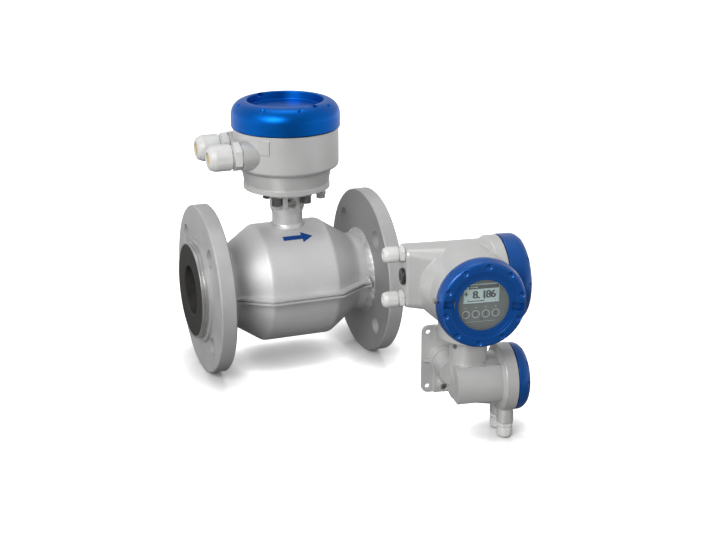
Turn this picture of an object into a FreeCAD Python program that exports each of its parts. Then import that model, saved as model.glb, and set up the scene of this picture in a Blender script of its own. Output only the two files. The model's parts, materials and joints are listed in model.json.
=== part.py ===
"""Electromagnetic flow meter: a flanged flow sensor with a round terminal box on its neck, and the
separate field housing of its signal converter, which stands beside the outlet flange.

Millimetres. The origin is the centre of the inlet sealing face on the flow axis, +X is the flow
direction and +Z is up. The converter is built in a frame of its own, with its display axis along -Y,
and is then turned and set down in its place.
"""
import FreeCAD
import Part
import os
from math import atan2, cos, degrees, radians, sin, sqrt, tan

V = FreeCAD.Vector
os.makedirs("parts", exist_ok=True)

# Measuring tube, liner and flanges
FACE_TO_FACE = 200.0
LINER_BORE = 47.0
LINER_WALL = 4.0
TUBE_WALL = 2.65
LINER_FLARE_DIAMETER = 90.0
LINER_FLARE = 3.0
RING_DIAMETER = 94.0
RING_THICKNESS = 6.0
RING_GROOVE = 0.6
RAISED_FACE_DIAMETER = 102.0
RAISED_FACE = 3.0
FLANGE_DIAMETER = 165.0
FLANGE_THICKNESS = 15.0
FLANGE_CHAMFER = 1.0
BOLT_CIRCLE = 125.0
BOLT_HOLE = 18.0
BOLT_COUNT = 4

# Welded outer shells
SHELL_NECK_DIAMETER = 77.4
BARREL_DIAMETER = 116.0
BARREL_LENGTH = 66.0
CONE_LENGTH = 29.0
SHELL_WALL = 2.0
SHELL_ROUNDING = 8.0
SEAM_STANDOFF = 8.0
SEAM_LIP = 2.7
SEAM_GROOVE = 1.6
SEAM_GROOVE_DEPTH = 2.5
WELD_LEG = 4.5

# Magnet and electrodes inside the shells
POLE_HALF_ANGLE = 42.0
POLE_LENGTH = 30.0
POLE_THICKNESS = 3.0
COIL_WIDTH = 9.0
COIL_THICKNESS = 9.0
COIL_STANDOFF = 0.5
YOKE_THICKNESS = 3.0
YOKE_LENGTH = 34.0
ELECTRODE_DIAMETER = 5.0
ELECTRODE_HEAD = 9.0
ELECTRODE_HEAD_THICKNESS = 1.5
ELECTRODE_LENGTH = 18.0
ELECTRODE_NUT = 10.0
ELECTRODE_NUT_HEIGHT = 5.0

# Neck between the shells and the terminal box
NECK_DIAMETER = 29.8
NECK_WALL = 3.0
NECK_WELD = 1.8
NECK_COLLAR_DIAMETER = 34.0
NECK_COLLAR = 14.5
NECK_COLLAR_CONE = 5.5
NECK_FLANGE_DIAMETER = 51.0
NECK_FLANGE = 6.0
BASE_SCREW_CIRCLE = 42.0
BASE_SCREW_HEX = 9.0
BASE_SCREW_HEAD = 7.5
BASE_SCREW_WASHER = 11.5
BASE_SCREW_THREAD = 5.0
BASE_SCREW_COUNT = 4
WASHER = 1.6
CLAMP_SCREW_HEAD = 8.0
CLAMP_SCREW_LENGTH = 7.0
CLAMP_SCREW_DROP = 7.0
CLAMP_SCREW_SIDE = -1.5
CLAMP_LUG_WIDTH = 5.0
CLAMP_LUG_HEIGHT = 11.0
CLAMP_LUG_SIDE = 10.5
EARTH_SCREW_INSET = 8.0
EARTH_SCREW_SIDE = 3.0
EARTH_SCREW_HEAD = 8.0
EARTH_STUD = 8.0
EARTH_CLAMP = 3.0
EARTH_CLAMP_DIAMETER = 10.0

# Terminal box
BOX_BASE_HEIGHT = 96.0
BOX_BASE_SETBACK = 9.0
BOX_BASE_THICKNESS = 4.5
BOWL_SETBACK = 7.5
BOWL_HEIGHT = 14.5
SHOULDER_HEIGHT = 3.5
BOX_DIAMETER = 102.0
BOX_HEIGHT = 36.5
BOX_WALL = 6.0
BOX_FLOOR = 5.0
BOX_GLAND_SPACING = 43.0
BOX_GLAND_DROP = 20.0
BOX_GLAND_STANDOFF = 1.0
BOX_STRIP_SETBACK = 11.5
BOX_BOSS_DIAMETER = 28.0
PAD_ANGLE = -131.0
PAD_WIDTH = 10.5
PAD_HEIGHT = 13.5
PAD_STANDOFF = 1.2
PAD_RISE = 10.0

# Screw covers
SEAL_THICKNESS = 1.0
SEAL_INSET = 1.2
THREAD_CLEARANCE = 0.06
COVER_CLEARANCE = 0.5
LID_DIAMETER = 105.0
LID_HEIGHT = 25.5
LID_ROUNDING = 14.0
LID_RECESS_DIAMETER = 72.0
LID_RECESS = 8.0
LID_WALL = 3.5
LID_SKIRT = 7.5
LID_GRIPS = 8
LID_GRIP_PHASE = 0.0
LID_GRIP_ANGLE = 55.0
LID_NOTCH_ANGLE = 112.5
COVER_GRIPS = 10
GRIP_DIAMETER = 7.0
GRIP_DEPTH = 1.5
NOTCH_WIDTH = 6.5
NOTCH_DEPTH = 3.5
NOTCH_INSET = 2.0
LID_NOTCH_REACH = 8.0
COVER_NOTCH_REACH = 5.0
DISPLAY_NOTCH_INSET = 4.0
COVER_SKIRT = 7.0
COVER_WALL = 3.0
LIP_ROUNDING = 0.6

# Cable glands of the terminal box and of the converter
GLAND_DIAMETER = 25.5
GLAND_LENGTH = 32.0
GLAND_HOLE = 12.0
SMALL_GLAND_DIAMETER = 13.8
SMALL_GLAND_LENGTH = 18.6

# Converter: place of its display axis, turn and heights above the flow axis
CONVERTER_X = 180.5
CONVERTER_Y = -231.9
CONVERTER_TURN = -7.5
HEAD_HEIGHT = 63.5
HEAD_COVER_DIAMETER = 76.6
HEAD_WALL = 4.0

# Converter head
HEAD_LEFT = 50.0
HEAD_LEFT_HEIGHT = 52.3
HEAD_LEFT_WIDTH = 26.5
HEAD_LEFT_BACKSET = 3.75
HEAD_LEFT_CORNER = 6.0
HEAD_LEFT_ROUNDING = 2.0
HEAD_LEFT_RISE = 8.0
HEAD_LEFT_LIFT = 7.35
HEAD_RIGHT = 33.0
HEAD_BODY_DIAMETER = 71.0
HEAD_COLLAR = 14.0
DISPLAY_REACH = 51.5
DISPLAY_BARREL_DIAMETER = 73.5
DISPLAY_ROOT_WIDTH = 78.8
DISPLAY_ROOT_HEIGHT = 60.0
DISPLAY_ROOT_LENGTH = 24.0
DISPLAY_ROOT_CORNER = 28.0
DISPLAY_ROOT_START = 8.0
DISPLAY_SIDE = 1.0
DISPLAY_COVER_LENGTH = 12.0
DISPLAY_COVER_ROUNDING = 3.0
DISPLAY_COVER_SIDE = 4.0
DISPLAY_COVER_TAPER = 2.0
WINDOW_DIAMETER = 44.0
WINDOW_STEP_DIAMETER = 57.0
WINDOW_STEP = 0.8
WINDOW_LAND = 2.0
GLASS_THICKNESS = 3.0
GLASS_CLEARANCE = 0.1
GLASS_LEDGE = 3.0
GLASS_RELIEF = 1.0
GRIP_PHASE = 12.0
NOTCH_ANGLE = -6.0
DISPLAY_GRIP_INSET = 5.0
SUPPLY_COVER_LENGTH = 20.0
SUPPLY_COVER_ROUNDING = 9.0
COVER_LAND = 3.0
COVER_RECESS = 4.0
HEAD_GLAND_SPACING = 40.0
BLIND_PLUG_DIAMETER = 14.6
BLIND_PLUG_LENGTH = 3.0
COVER_LOCK_DIAMETER = 5.0
COVER_LOCK_STANDOFF = 3.0
COVER_LOCK_ANGLE = 173.0
COVER_LOCK_SETBACK = 3.5

# Display and electronics behind the window
PANEL_CLEARANCE = 1.0
PANEL_THICKNESS = 3.0
LCD_WIDTH = 30.4
LCD_HEIGHT = 16.3
LCD_RISE = 8.2
LCD_THICKNESS = 1.2
INSERT_LENGTH = 18.0
INSERT_FLANGE = 3.0
INSERT_CABLE_BORE = 40.0
GLASS_TO_PANEL = 4.0
PARTITION_X = 4.0
PARTITION_THICKNESS = 4.0
PARTITION_WINDOW = 14.0
PARTITION_WINDOW_RISE = 10.0
SUPPLY_STRIP_LENGTH = 24.0
SUPPLY_STRIP_Y = 11.0
SUPPLY_STRIP_DROP = 6.0
KEY_SPACING = 8.6
KEY_DROP = 10.0
KEY_DIAMETER = 7.0
KEY_RING = 0.8

# Neck and sensor cable compartment of the converter
STEM_OFFSET = 9.0
STEM_FLANGE_DIAMETER = 55.0
STEM_FLANGE_HEIGHT = 12.5
STEM_DIAMETER = 33.0
STEM_BORE = 16.5
STEM_GAP = 2.5
STEM_SPIGOT_STEP = 4.0
STEM_SCREW = 4.0
STEM_SCREW_DROP = 3.6
STEM_SCREW_ANGLE = 62.0
CELL_HEIGHT = -29.5
CELL_LEFT = 7.5
CELL_LEFT_DIAMETER = 35.0
CELL_DIAMETER = 48.0
CELL_COLLAR_START = 33.0
CELL_RIGHT = 46.5
CELL_COLLAR_DIAMETER = 61.0
CELL_WALL = 3.5
CELL_ROUNDING = 9.0
CELL_COVER_DIAMETER = 59.6
CELL_COVER_LENGTH = 12.0
CELL_COVER_ROUNDING = 9.0
CELL_PAD_STANDOFF = 2.0
CELL_PAD_START = -7.0
CELL_PAD_ROOT = 8.0
CELL_PAD_DROP = 12.5
CELL_PAD_LENGTH = 42.0
CELL_PAD_HEIGHT = 31.5
CELL_GLAND_X = 41.5
CELL_GLAND_SPACING = 20.0
CELL_BOSS_DIAMETER = 14.6
CELL_BOSS_DROP = 8.0

# Wall plate on its swivel boss behind the compartment
PLATE_DISTANCE = 33.0
PLATE_THICKNESS = 3.0
PLATE_WIDTH = 39.0
PLATE_HEIGHT = 64.0
PLATE_CORNER = 6.0
PLATE_X = -4.0
PLATE_Z = -21.0
PLATE_HOLE = 4.6
PLATE_HOLE_SPACING_X = 28.0
PLATE_HOLE_SPACING_Z = 52.0
CHANNEL_WIDTH = 17.0
CHANNEL_DEPTH = 2.0
SWIVEL_DIAMETER = 27.0
SWIVEL_THICKNESS = 9.0
SWIVEL_PIN = 10.0
SWIVEL_GAP = 0.3
LOCK_BOSS_DIAMETER = 9.5
LOCK_BOSS_DROP = 24.0
LOCK_BOSS_SIDE = -1.0
LOCK_BOSS_LENGTH = 9.5
LOCK_SCREW_DIAMETER = 6.0
RIB_THICKNESS = 2.5

# Terminal strips
STRIP_LENGTH = 34.0
STRIP_DEPTH = 12.0
STRIP_HEIGHT = 9.0
STRIP_PITCH = 6.5
STRIP_SCREW = 4.0
CELL_STRIP_LENGTH = 20.0

# Gap of a seat that isn't face to face
SEATING_GAP = 0.3

MIDDLE = FACE_TO_FACE / 2
TUBE_BORE = LINER_BORE + 2 * LINER_WALL
TUBE_DIAMETER = TUBE_BORE + 2 * TUBE_WALL
FLANGE_FRONT = RING_THICKNESS + RAISED_FACE
FLANGE_BACK = FLANGE_FRONT + FLANGE_THICKNESS
BOX_RIM_HEIGHT = BOX_BASE_HEIGHT + BOX_BASE_THICKNESS + BOWL_HEIGHT + SHOULDER_HEIGHT + BOX_HEIGHT
BOX_BORE = BOX_DIAMETER - 2 * BOX_WALL
BOX_BASE_DIAMETER = BOX_DIAMETER - 2 * BOX_BASE_SETBACK
BOWL_DIAMETER = BOX_DIAMETER - 2 * BOWL_SETBACK
BOX_GLAND_REACH = BOX_DIAMETER / 2 + BOX_GLAND_STANDOFF
EARTH_SCREW_OFFSET = BOX_BASE_DIAMETER / 2 - EARTH_SCREW_INSET
BOX_GLAND_HEIGHT = BOX_RIM_HEIGHT - BOX_GLAND_DROP
HEAD_BORE = HEAD_BODY_DIAMETER - 2 * HEAD_WALL
CELL_BORE = CELL_COLLAR_DIAMETER - 4 * CELL_WALL
CELL_FLOOR = 3 * CELL_WALL - CELL_LEFT

X_AXIS = V(1, 0, 0)
Y_AXIS = V(0, 1, 0)
Z_AXIS = V(0, 0, 1)


def outline(corners):
    """Closed wire in the XZ plane through corners (x, z), or (x, z, rounding) for a rounded one."""
    bends = []
    for i, corner in enumerate(corners):
        here = V(corner[0], 0, corner[1])
        if len(corner) == 2:
            bends.append((here, None, here))
            continue
        last = corners[i - 1]
        following = corners[(i + 1) % len(corners)]
        back = (V(last[0], 0, last[1]) - here).normalize()
        ahead = (V(following[0], 0, following[1]) - here).normalize()
        half = back.getAngle(ahead) / 2
        inset = corner[2] / tan(half)
        middle = here + (back + ahead).normalize() * (corner[2] / sin(half) - corner[2])
        bends.append((here + back * inset, middle, here + ahead * inset))
    edges = []
    for i, (start, middle, end) in enumerate(bends):
        if middle is not None:
            edges.append(Part.Arc(start, middle, end).toShape())
        onward = bends[(i + 1) % len(bends)][0]
        if end.distanceToPoint(onward) > 1e-6:
            edges.append(Part.makeLine(end, onward))
    return Part.Wire(edges)


def placed(shape, base, axis, turn=0.0):
    """The shape, drawn about +Z from the origin, set on base along axis."""
    shape = shape.copy()
    spin = FreeCAD.Rotation(Z_AXIS, turn)
    shape.Placement = FreeCAD.Placement(base, FreeCAD.Rotation(Z_AXIS, axis) * spin) * shape.Placement
    return shape


def turned(corners, base=V(0, 0, 0), axis=Z_AXIS):
    """Solid of revolution from corners (radius, height), standing on base along axis."""
    face = Part.Face(outline(corners))
    return placed(face.revolve(V(0, 0, 0), Z_AXIS, 360), base, axis)


def disc(diameter, length, base=V(0, 0, 0), axis=Z_AXIS):
    return Part.makeCylinder(diameter / 2, length, base, axis)


def ring(outer, inner, length, base=V(0, 0, 0), axis=Z_AXIS):
    return disc(outer, length, base, axis).cut(disc(inner, length, base, axis))


def block(low, high):
    """Box between two opposite corners."""
    low, high = V(*low), V(*high)
    return Part.makeBox(high.x - low.x, high.y - low.y, high.z - low.z, low)


def hexagon(across, length, base=V(0, 0, 0), axis=Z_AXIS, turn=0.0):
    """Hexagonal prism by its width across flats."""
    corner = across / sqrt(3)
    points = [V(corner * cos(radians(60 * i)), corner * sin(radians(60 * i)), 0) for i in range(7)]
    prism = Part.Face(Part.makePolygon(points)).extrude(V(0, 0, length))
    return placed(prism, base, axis, turn)


def around(count, radius, phase=0.0):
    """Angle in degrees and place of each of count points on a circle about +Z."""
    for i in range(count):
        angle = phase + 360 * i / count
        yield angle, V(radius * cos(radians(angle)), radius * sin(radians(angle)), 0)


def mirrored(shape):
    """The outlet side's copy of an inlet side piece."""
    return shape.mirror(V(MIDDLE, 0, 0), X_AXIS)


def save(name, shape):
    shape.exportStep("parts/" + name + ".step")


# Flow sensor

def measuring_tube():
    """Tube from the inlet flare to the outlet flare, with a hole for each electrode."""
    length = FACE_TO_FACE - 2 * LINER_FLARE
    tube = ring(TUBE_DIAMETER, TUBE_BORE, length, V(LINER_FLARE, 0, 0), X_AXIS)
    seat = V(MIDDLE, -TUBE_DIAMETER / 2, 0)
    hole = disc(ELECTRODE_DIAMETER + 2 * GLASS_CLEARANCE, TUBE_DIAMETER, seat, Y_AXIS)
    return tube.cut(hole)


def liner():
    """Lining of the tube, turned out over both ends, with the electrode seats."""
    bore, outer, flare = LINER_BORE / 2, TUBE_BORE / 2, LINER_FLARE_DIAMETER / 2
    corners = [(bore, 0, 1.5), (flare, 0), (flare, LINER_FLARE), (outer, LINER_FLARE),
               (outer, FACE_TO_FACE - LINER_FLARE), (flare, FACE_TO_FACE - LINER_FLARE),
               (flare, FACE_TO_FACE), (bore, FACE_TO_FACE, 1.5)]
    lining = turned(corners, axis=X_AXIS)
    for side in (-1, 1):
        lining = lining.cut(electrode_shape(side))
    return lining


def electrode_shape(side):
    """Electrode with its flat head inside the bore, seated in the liner; side is -1 or 1 along Y."""
    head = LINER_BORE / 2 + ELECTRODE_HEAD_THICKNESS / 2
    out = V(0, side, 0)
    start = V(MIDDLE, side * (head - ELECTRODE_HEAD_THICKNESS), 0)
    return disc(ELECTRODE_HEAD, ELECTRODE_HEAD_THICKNESS, start, out).fuse(
        disc(ELECTRODE_DIAMETER, ELECTRODE_LENGTH, start, out))


def electrode_nut(side):
    """Nut that draws the electrode's head against the liner."""
    base = V(MIDDLE, side * TUBE_DIAMETER / 2, 0)
    nut = hexagon(ELECTRODE_NUT, ELECTRODE_NUT_HEIGHT, base, V(0, side, 0))
    seat = disc(TUBE_DIAMETER, 4 * ELECTRODE_NUT, V(MIDDLE - 2 * ELECTRODE_NUT, 0, 0), X_AXIS)
    return nut.cut(electrode_shape(side)).cut(seat)


def flange():
    """Inlet flange with its raised face, bolt holes and the bore that the tube is welded into."""
    rim, face = FLANGE_DIAMETER / 2, RAISED_FACE_DIAMETER / 2
    corners = [(TUBE_DIAMETER / 2, RING_THICKNESS), (face, RING_THICKNESS), (face, FLANGE_FRONT),
               (rim - FLANGE_CHAMFER, FLANGE_FRONT), (rim, FLANGE_FRONT + FLANGE_CHAMFER),
               (rim, FLANGE_BACK - FLANGE_CHAMFER), (rim - FLANGE_CHAMFER, FLANGE_BACK),
               (TUBE_DIAMETER / 2, FLANGE_BACK)]
    plate = turned(corners, axis=X_AXIS)
    for _, place in around(BOLT_COUNT, BOLT_CIRCLE / 2, 180 / BOLT_COUNT):
        plate = plate.cut(disc(BOLT_HOLE, FLANGE_THICKNESS, V(FLANGE_FRONT, place.x, place.y), X_AXIS))
    return plate


def ground_ring():
    """Earthing ring that clasps the liner's flare, with a fine groove round its rim."""
    rim, flare, tube = RING_DIAMETER / 2, LINER_FLARE_DIAMETER / 2, TUBE_DIAMETER / 2
    corners = [(flare, 0), (rim, 0, 0.4), (rim, LINER_FLARE - RING_GROOVE), (rim - RING_GROOVE, LINER_FLARE),
               (rim, LINER_FLARE + RING_GROOVE), (rim, RING_THICKNESS), (tube, RING_THICKNESS),
               (tube, LINER_FLARE), (flare, LINER_FLARE)]
    return turned(corners, axis=X_AXIS)


def shell_corners(offset, rounding):
    """Half profile (radius, x) of the welded shells, moved outwards by offset."""
    neck = SHELL_NECK_DIAMETER / 2 + offset
    barrel = BARREL_DIAMETER / 2 + offset
    half = BARREL_LENGTH / 2
    slant = degrees(atan2((BARREL_DIAMETER - SHELL_NECK_DIAMETER) / 2, CONE_LENGTH))
    shift = offset * tan(radians(slant / 2))
    near = MIDDLE - half - shift
    far = MIDDLE + half + shift
    return [(0, FLANGE_BACK), (neck, FLANGE_BACK), (neck, near - CONE_LENGTH, rounding),
            (barrel, near, rounding), (barrel, far, rounding), (neck, far + CONE_LENGTH, rounding),
            (neck, FACE_TO_FACE - FLANGE_BACK),
            (0, FACE_TO_FACE - FLANGE_BACK)]


def seam_plate(standoff, low, high):
    """Level plate as wide as the shells and standoff more, between two heights above the flow axis."""
    plan = placed(Part.Face(outline(shell_corners(standoff, SHELL_ROUNDING))), V(0, 0, 0), X_AXIS)
    plan.rotate(V(0, 0, 0), X_AXIS, 90)
    plan.translate(V(0, 0, low))
    rise = V(0, 0, high - low)
    return plan.extrude(rise).fuse(plan.mirror(V(0, 0, 0), Y_AXIS).extrude(rise))


def half_shell(side):
    """Upper (side 1) or lower (side -1) pressed shell with half of the standing weld seam."""
    inner = turned(shell_corners(-SHELL_WALL, SHELL_ROUNDING - SHELL_WALL), axis=X_AXIS)
    outer = turned(shell_corners(0, SHELL_ROUNDING), axis=X_AXIS)
    reach = BARREL_DIAMETER
    half = block((0, -reach, 0), (FACE_TO_FACE, reach, reach))
    lip = seam_plate(SEAM_STANDOFF, SEAM_GROOVE / 2, SEAM_LIP)
    lip = lip.fuse(seam_plate(SEAM_STANDOFF - SEAM_GROOVE_DEPTH, 0, SEAM_GROOVE / 2))
    free = FLANGE_BACK + WELD_LEG
    lip = lip.common(block((free, -reach, 0), (FACE_TO_FACE - free, reach, reach)))
    shell = outer.common(half).fuse(lip).cut(inner)
    if side < 0:
        shell = shell.mirror(V(0, 0, 0), Z_AXIS)
    return shell


def flange_weld():
    """Fillet weld between the inlet flange and the shells."""
    neck = SHELL_NECK_DIAMETER / 2
    leg = WELD_LEG
    throat = 0.62 * leg
    start, end = V(neck, 0, FLANGE_BACK + leg), V(neck + leg, 0, FLANGE_BACK)
    bead = Part.Arc(start, V(neck + throat, 0, FLANGE_BACK + throat), end).toShape()
    corner = V(neck, 0, FLANGE_BACK)
    face = Part.Face(Part.Wire([bead, Part.makeLine(end, corner), Part.makeLine(corner, start)]))
    return placed(face.revolve(V(0, 0, 0), Z_AXIS, 360), V(0, 0, 0), X_AXIS)


def sector(outer, inner, length, half_angle):
    """Curved plate about the flow axis, on top of the tube and centred on the electrodes."""
    shape = ring(outer, inner, length, V(MIDDLE - length / 2, 0, 0), X_AXIS)
    reach = outer
    corners = [V(0, 0, 0)]
    for angle in (-half_angle, 0, half_angle):
        corners.append(V(0, reach * sin(radians(angle)), reach * cos(radians(angle))) * 1.5)
    corners.append(corners[0])
    wedge = Part.Face(Part.makePolygon(corners)).extrude(V(FACE_TO_FACE, 0, 0))
    return shape.common(wedge)


def pole_shoe():
    """Curved plate that spreads the field over the tube, with its core up to the yoke."""
    base = TUBE_DIAMETER
    plate = sector(base + 2 * POLE_THICKNESS, base, POLE_LENGTH, POLE_HALF_ANGLE)
    top = yoke_inner() / 2
    core = disc(POLE_LENGTH / 2, top - base / 2 + 2, V(MIDDLE, 0, base / 2 - 2))
    hollow = disc(base, FACE_TO_FACE, V(0, 0, 0), X_AXIS)
    outside = ring(4 * BARREL_DIAMETER, yoke_inner(), FACE_TO_FACE, V(0, 0, 0), X_AXIS)
    return plate.fuse(core.cut(hollow).cut(outside))


def yoke_inner():
    """Inner diameter of the yoke, just outside the coils."""
    return TUBE_DIAMETER + 2 * (POLE_THICKNESS + COIL_STANDOFF + COIL_THICKNESS + COIL_STANDOFF)


def field_coil():
    """Saddle coil wound round the core of a pole shoe."""
    inner = TUBE_DIAMETER + 2 * (POLE_THICKNESS + COIL_STANDOFF)
    outer = inner + 2 * COIL_THICKNESS
    winding = sector(outer, inner, POLE_LENGTH / 2 + 2 * COIL_WIDTH + 2 * COIL_STANDOFF, POLE_HALF_ANGLE)
    window = disc(POLE_LENGTH / 2 + 2 * COIL_STANDOFF, outer, V(MIDDLE, 0, 0))
    return winding.cut(window)


def yoke():
    """Sheet band that closes the magnetic circuit round both coils."""
    inner = yoke_inner()
    return ring(inner + 2 * YOKE_THICKNESS, inner, YOKE_LENGTH, V(MIDDLE - YOKE_LENGTH / 2, 0, 0), X_AXIS)


def neck_tube():
    """Neck from the upper shell to the terminal box, with its weld, collar, flange and clamping lug."""
    radius, bore, bead = NECK_DIAMETER / 2, NECK_DIAMETER / 2 - NECK_WALL, NECK_WELD
    collar, top, low = NECK_COLLAR_DIAMETER / 2, BOX_BASE_HEIGHT, BOX_BASE_HEIGHT - NECK_FLANGE
    foot = sqrt((BARREL_DIAMETER / 2) ** 2 - (radius + bead) ** 2)
    corners = [(bore, foot - SHELL_WALL), (radius, foot - SHELL_WALL), (radius + bead, foot),
               (radius + bead, foot + bead / 2), (radius, BARREL_DIAMETER / 2 + bead),
               (radius, low - NECK_COLLAR - NECK_COLLAR_CONE), (collar, low - NECK_COLLAR, 1.0),
               (collar, low), (NECK_FLANGE_DIAMETER / 2, low), (NECK_FLANGE_DIAMETER / 2, top), (bore, top)]
    neck = turned(corners, V(MIDDLE, 0, 0)).cut(disc(BARREL_DIAMETER, FACE_TO_FACE, V(0, 0, 0), X_AXIS))
    reach = collar + CLAMP_SCREW_LENGTH / 2
    left = MIDDLE - CLAMP_LUG_SIDE
    lug = block((left, -reach, low - CLAMP_LUG_HEIGHT), (left + CLAMP_LUG_WIDTH, 0, low))
    neck = neck.fuse(lug.cut(disc(2 * radius, top, V(MIDDLE, 0, 0))))
    for _, place in around(BASE_SCREW_COUNT, BASE_SCREW_CIRCLE / 2, 180 / BASE_SCREW_COUNT):
        centre = V(MIDDLE + place.x, place.y, low)
        neck = neck.cut(disc(BASE_SCREW_THREAD, NECK_FLANGE, centre))
        neck = neck.cut(disc(BASE_SCREW_WASHER + 2 * SEATING_GAP, NECK_COLLAR, centre, -Z_AXIS))
    return neck


def base_screw(place):
    """Hexagon screw with a washer, driven up through the neck's flange into the box's base."""
    under = V(MIDDLE + place.x, place.y, BOX_BASE_HEIGHT - NECK_FLANGE - WASHER)
    head = hexagon(BASE_SCREW_HEX, BASE_SCREW_HEAD, under - V(0, 0, BASE_SCREW_HEAD))
    shank = disc(BASE_SCREW_THREAD, WASHER + NECK_FLANGE + BOX_BASE_THICKNESS, under)
    return head.fuse(disc(BASE_SCREW_WASHER, WASHER, under)).fuse(shank)


def clamp_screw():
    """Socket screw that points out of the front of the neck's collar."""
    height = BOX_BASE_HEIGHT - NECK_FLANGE - CLAMP_SCREW_DROP
    start = V(MIDDLE + CLAMP_SCREW_SIDE, -NECK_COLLAR_DIAMETER / 2 + 1.0, height)
    head = disc(CLAMP_SCREW_HEAD, CLAMP_SCREW_LENGTH, start, -Y_AXIS)
    socket_depth = CLAMP_SCREW_LENGTH / 2
    socket = hexagon(CLAMP_SCREW_HEAD / 2, socket_depth, start - V(0, socket_depth, 0), -Y_AXIS)
    return head.cut(socket).cut(disc(NECK_COLLAR_DIAMETER, BOX_BASE_HEIGHT, V(MIDDLE, 0, 0)))


def earth_screw():
    """Earthing terminal under the box: stud, clamp washer and hexagon head."""
    under = earth_place()
    clamp = under - V(0, 0, EARTH_STUD + EARTH_CLAMP)
    head = hexagon(EARTH_SCREW_HEAD, EARTH_SCREW_HEAD / 2, clamp - V(0, 0, EARTH_SCREW_HEAD / 2))
    shank = disc(BASE_SCREW_THREAD, EARTH_STUD + BOX_BASE_THICKNESS, under - V(0, 0, EARTH_STUD))
    return head.fuse(disc(EARTH_CLAMP_DIAMETER, EARTH_CLAMP, clamp)).fuse(shank)


def earth_place():
    """Where the earthing screw enters the underside of the box."""
    return V(MIDDLE + EARTH_SCREW_OFFSET, -EARTH_SCREW_SIDE, BOX_BASE_HEIGHT)


# Terminal box

def terminal_box():
    """Cast box: base ring, bowl, shoulder and body, with two gland bosses and a small pad."""
    base, bowl, body = BOX_BASE_DIAMETER / 2, BOWL_DIAMETER / 2, BOX_DIAMETER / 2
    z0 = BOX_BASE_HEIGHT
    z1 = z0 + BOX_BASE_THICKNESS
    z2 = z1 + BOWL_HEIGHT
    z3 = z2 + SHOULDER_HEIGHT
    corners = [(0, z0), (base, z0), (base, z1), (base - 1, z1 + 0.5), (bowl, z2 - 1), (bowl, z2, 2.0),
               (body, z3, 3.0), (body, BOX_RIM_HEIGHT), (0, BOX_RIM_HEIGHT)]
    box = turned(corners, V(MIDDLE, 0, 0))
    for _, place, out in box_glands():
        box = box.fuse(disc(BOX_BOSS_DIAMETER, BOX_GLAND_REACH - BOX_BORE / 4, place, -out))
    box = box.fuse(wall_pad())
    inner = BOX_BORE / 2
    cavity = turned([(0, z1 + BOX_FLOOR), (bowl - BOX_WALL, z1 + BOX_FLOOR, 3.0), (bowl - BOX_WALL, z3),
                     (inner, z3 + inner - bowl + BOX_WALL), (inner, BOX_RIM_HEIGHT), (0, BOX_RIM_HEIGHT)],
                    V(MIDDLE, 0, 0))
    box = box.cut(cavity)
    box = box.cut(disc(NECK_DIAMETER - 2 * NECK_WALL, BOX_BASE_THICKNESS + BOX_FLOOR, V(MIDDLE, 0, z0)))
    for _, place, out in box_glands():
        box = box.cut(disc(GLAND_HOLE + 2, BOX_GLAND_REACH, place, -out))
    for _, place in around(BASE_SCREW_COUNT, BASE_SCREW_CIRCLE / 2, 180 / BASE_SCREW_COUNT):
        box = box.cut(disc(BASE_SCREW_THREAD, BOX_BASE_THICKNESS, V(MIDDLE + place.x, place.y, z0)))
    return box.cut(disc(BASE_SCREW_THREAD, BOX_BASE_THICKNESS, earth_place()))


def box_glands():
    """Name, seat and outward direction of the two glands of the terminal box."""
    for name, side in (("front", -1), ("rear", 1)):
        yield name, V(MIDDLE - BOX_GLAND_REACH, side * BOX_GLAND_SPACING / 2, BOX_GLAND_HEIGHT), V(-1, 0, 0)


def wall_pad():
    """Small raised rectangle on the box's wall, beside the front gland."""
    outer = BOX_DIAMETER / 2 + PAD_STANDOFF
    pad = block((0, -PAD_WIDTH / 2, 0), (outer, PAD_WIDTH / 2, PAD_HEIGHT))
    pad.rotate(V(0, 0, 0), Z_AXIS, PAD_ANGLE)
    pad.translate(V(MIDDLE, 0, BOX_GLAND_HEIGHT + PAD_RISE - PAD_HEIGHT / 2))
    return pad.common(disc(2 * outer, 2 * BOX_RIM_HEIGHT, V(MIDDLE, 0, 0)))


def screw_cover(diameter, length, rounding, thread, skirt, recess_diameter, recess, wall):
    """Turned cover about +Z: seat at height 0, threaded skirt below it, round recess in its top."""
    rim, dish, bottom, inside = diameter / 2, recess_diameter / 2, length - recess, thread / 2 - wall
    corners = [(0, bottom), (dish, bottom, 1.0), (dish + 1.0, length, 1.0), (rim, length, rounding),
               (rim, 0, LIP_ROUNDING), (thread / 2, 0), (thread / 2, -skirt, LIP_ROUNDING), (inside, -skirt),
               (inside, bottom - wall), (0, bottom - wall)]
    return turned(corners)


def grips(count, diameter, length, rounding, phase, angle=45.0):
    """Ball-shaped grip dimples round the rounded shoulder of a cover, at an angle above its side."""
    side, up = cos(radians(angle)), sin(radians(angle))
    lift = GRIP_DIAMETER / 2 - GRIP_DEPTH
    radius = diameter / 2 - rounding + (rounding + lift) * side
    height = length - rounding + (rounding + lift) * up
    return [Part.makeSphere(GRIP_DIAMETER / 2, place + V(0, 0, height))
            for _, place in around(count, radius, phase)]


def rim_notches(inner, outer, length, angle):
    """Two opposite notches in a cover's rim that take the spanner."""
    tools = []
    for turn in (angle, angle + 180):
        notch = block((inner, -NOTCH_WIDTH / 2, length - NOTCH_DEPTH),
                      (outer, NOTCH_WIDTH / 2, length + NOTCH_DEPTH))
        notch.rotate(V(0, 0, 0), Z_AXIS, turn)
        tools.append(notch)
    return tools


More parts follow.
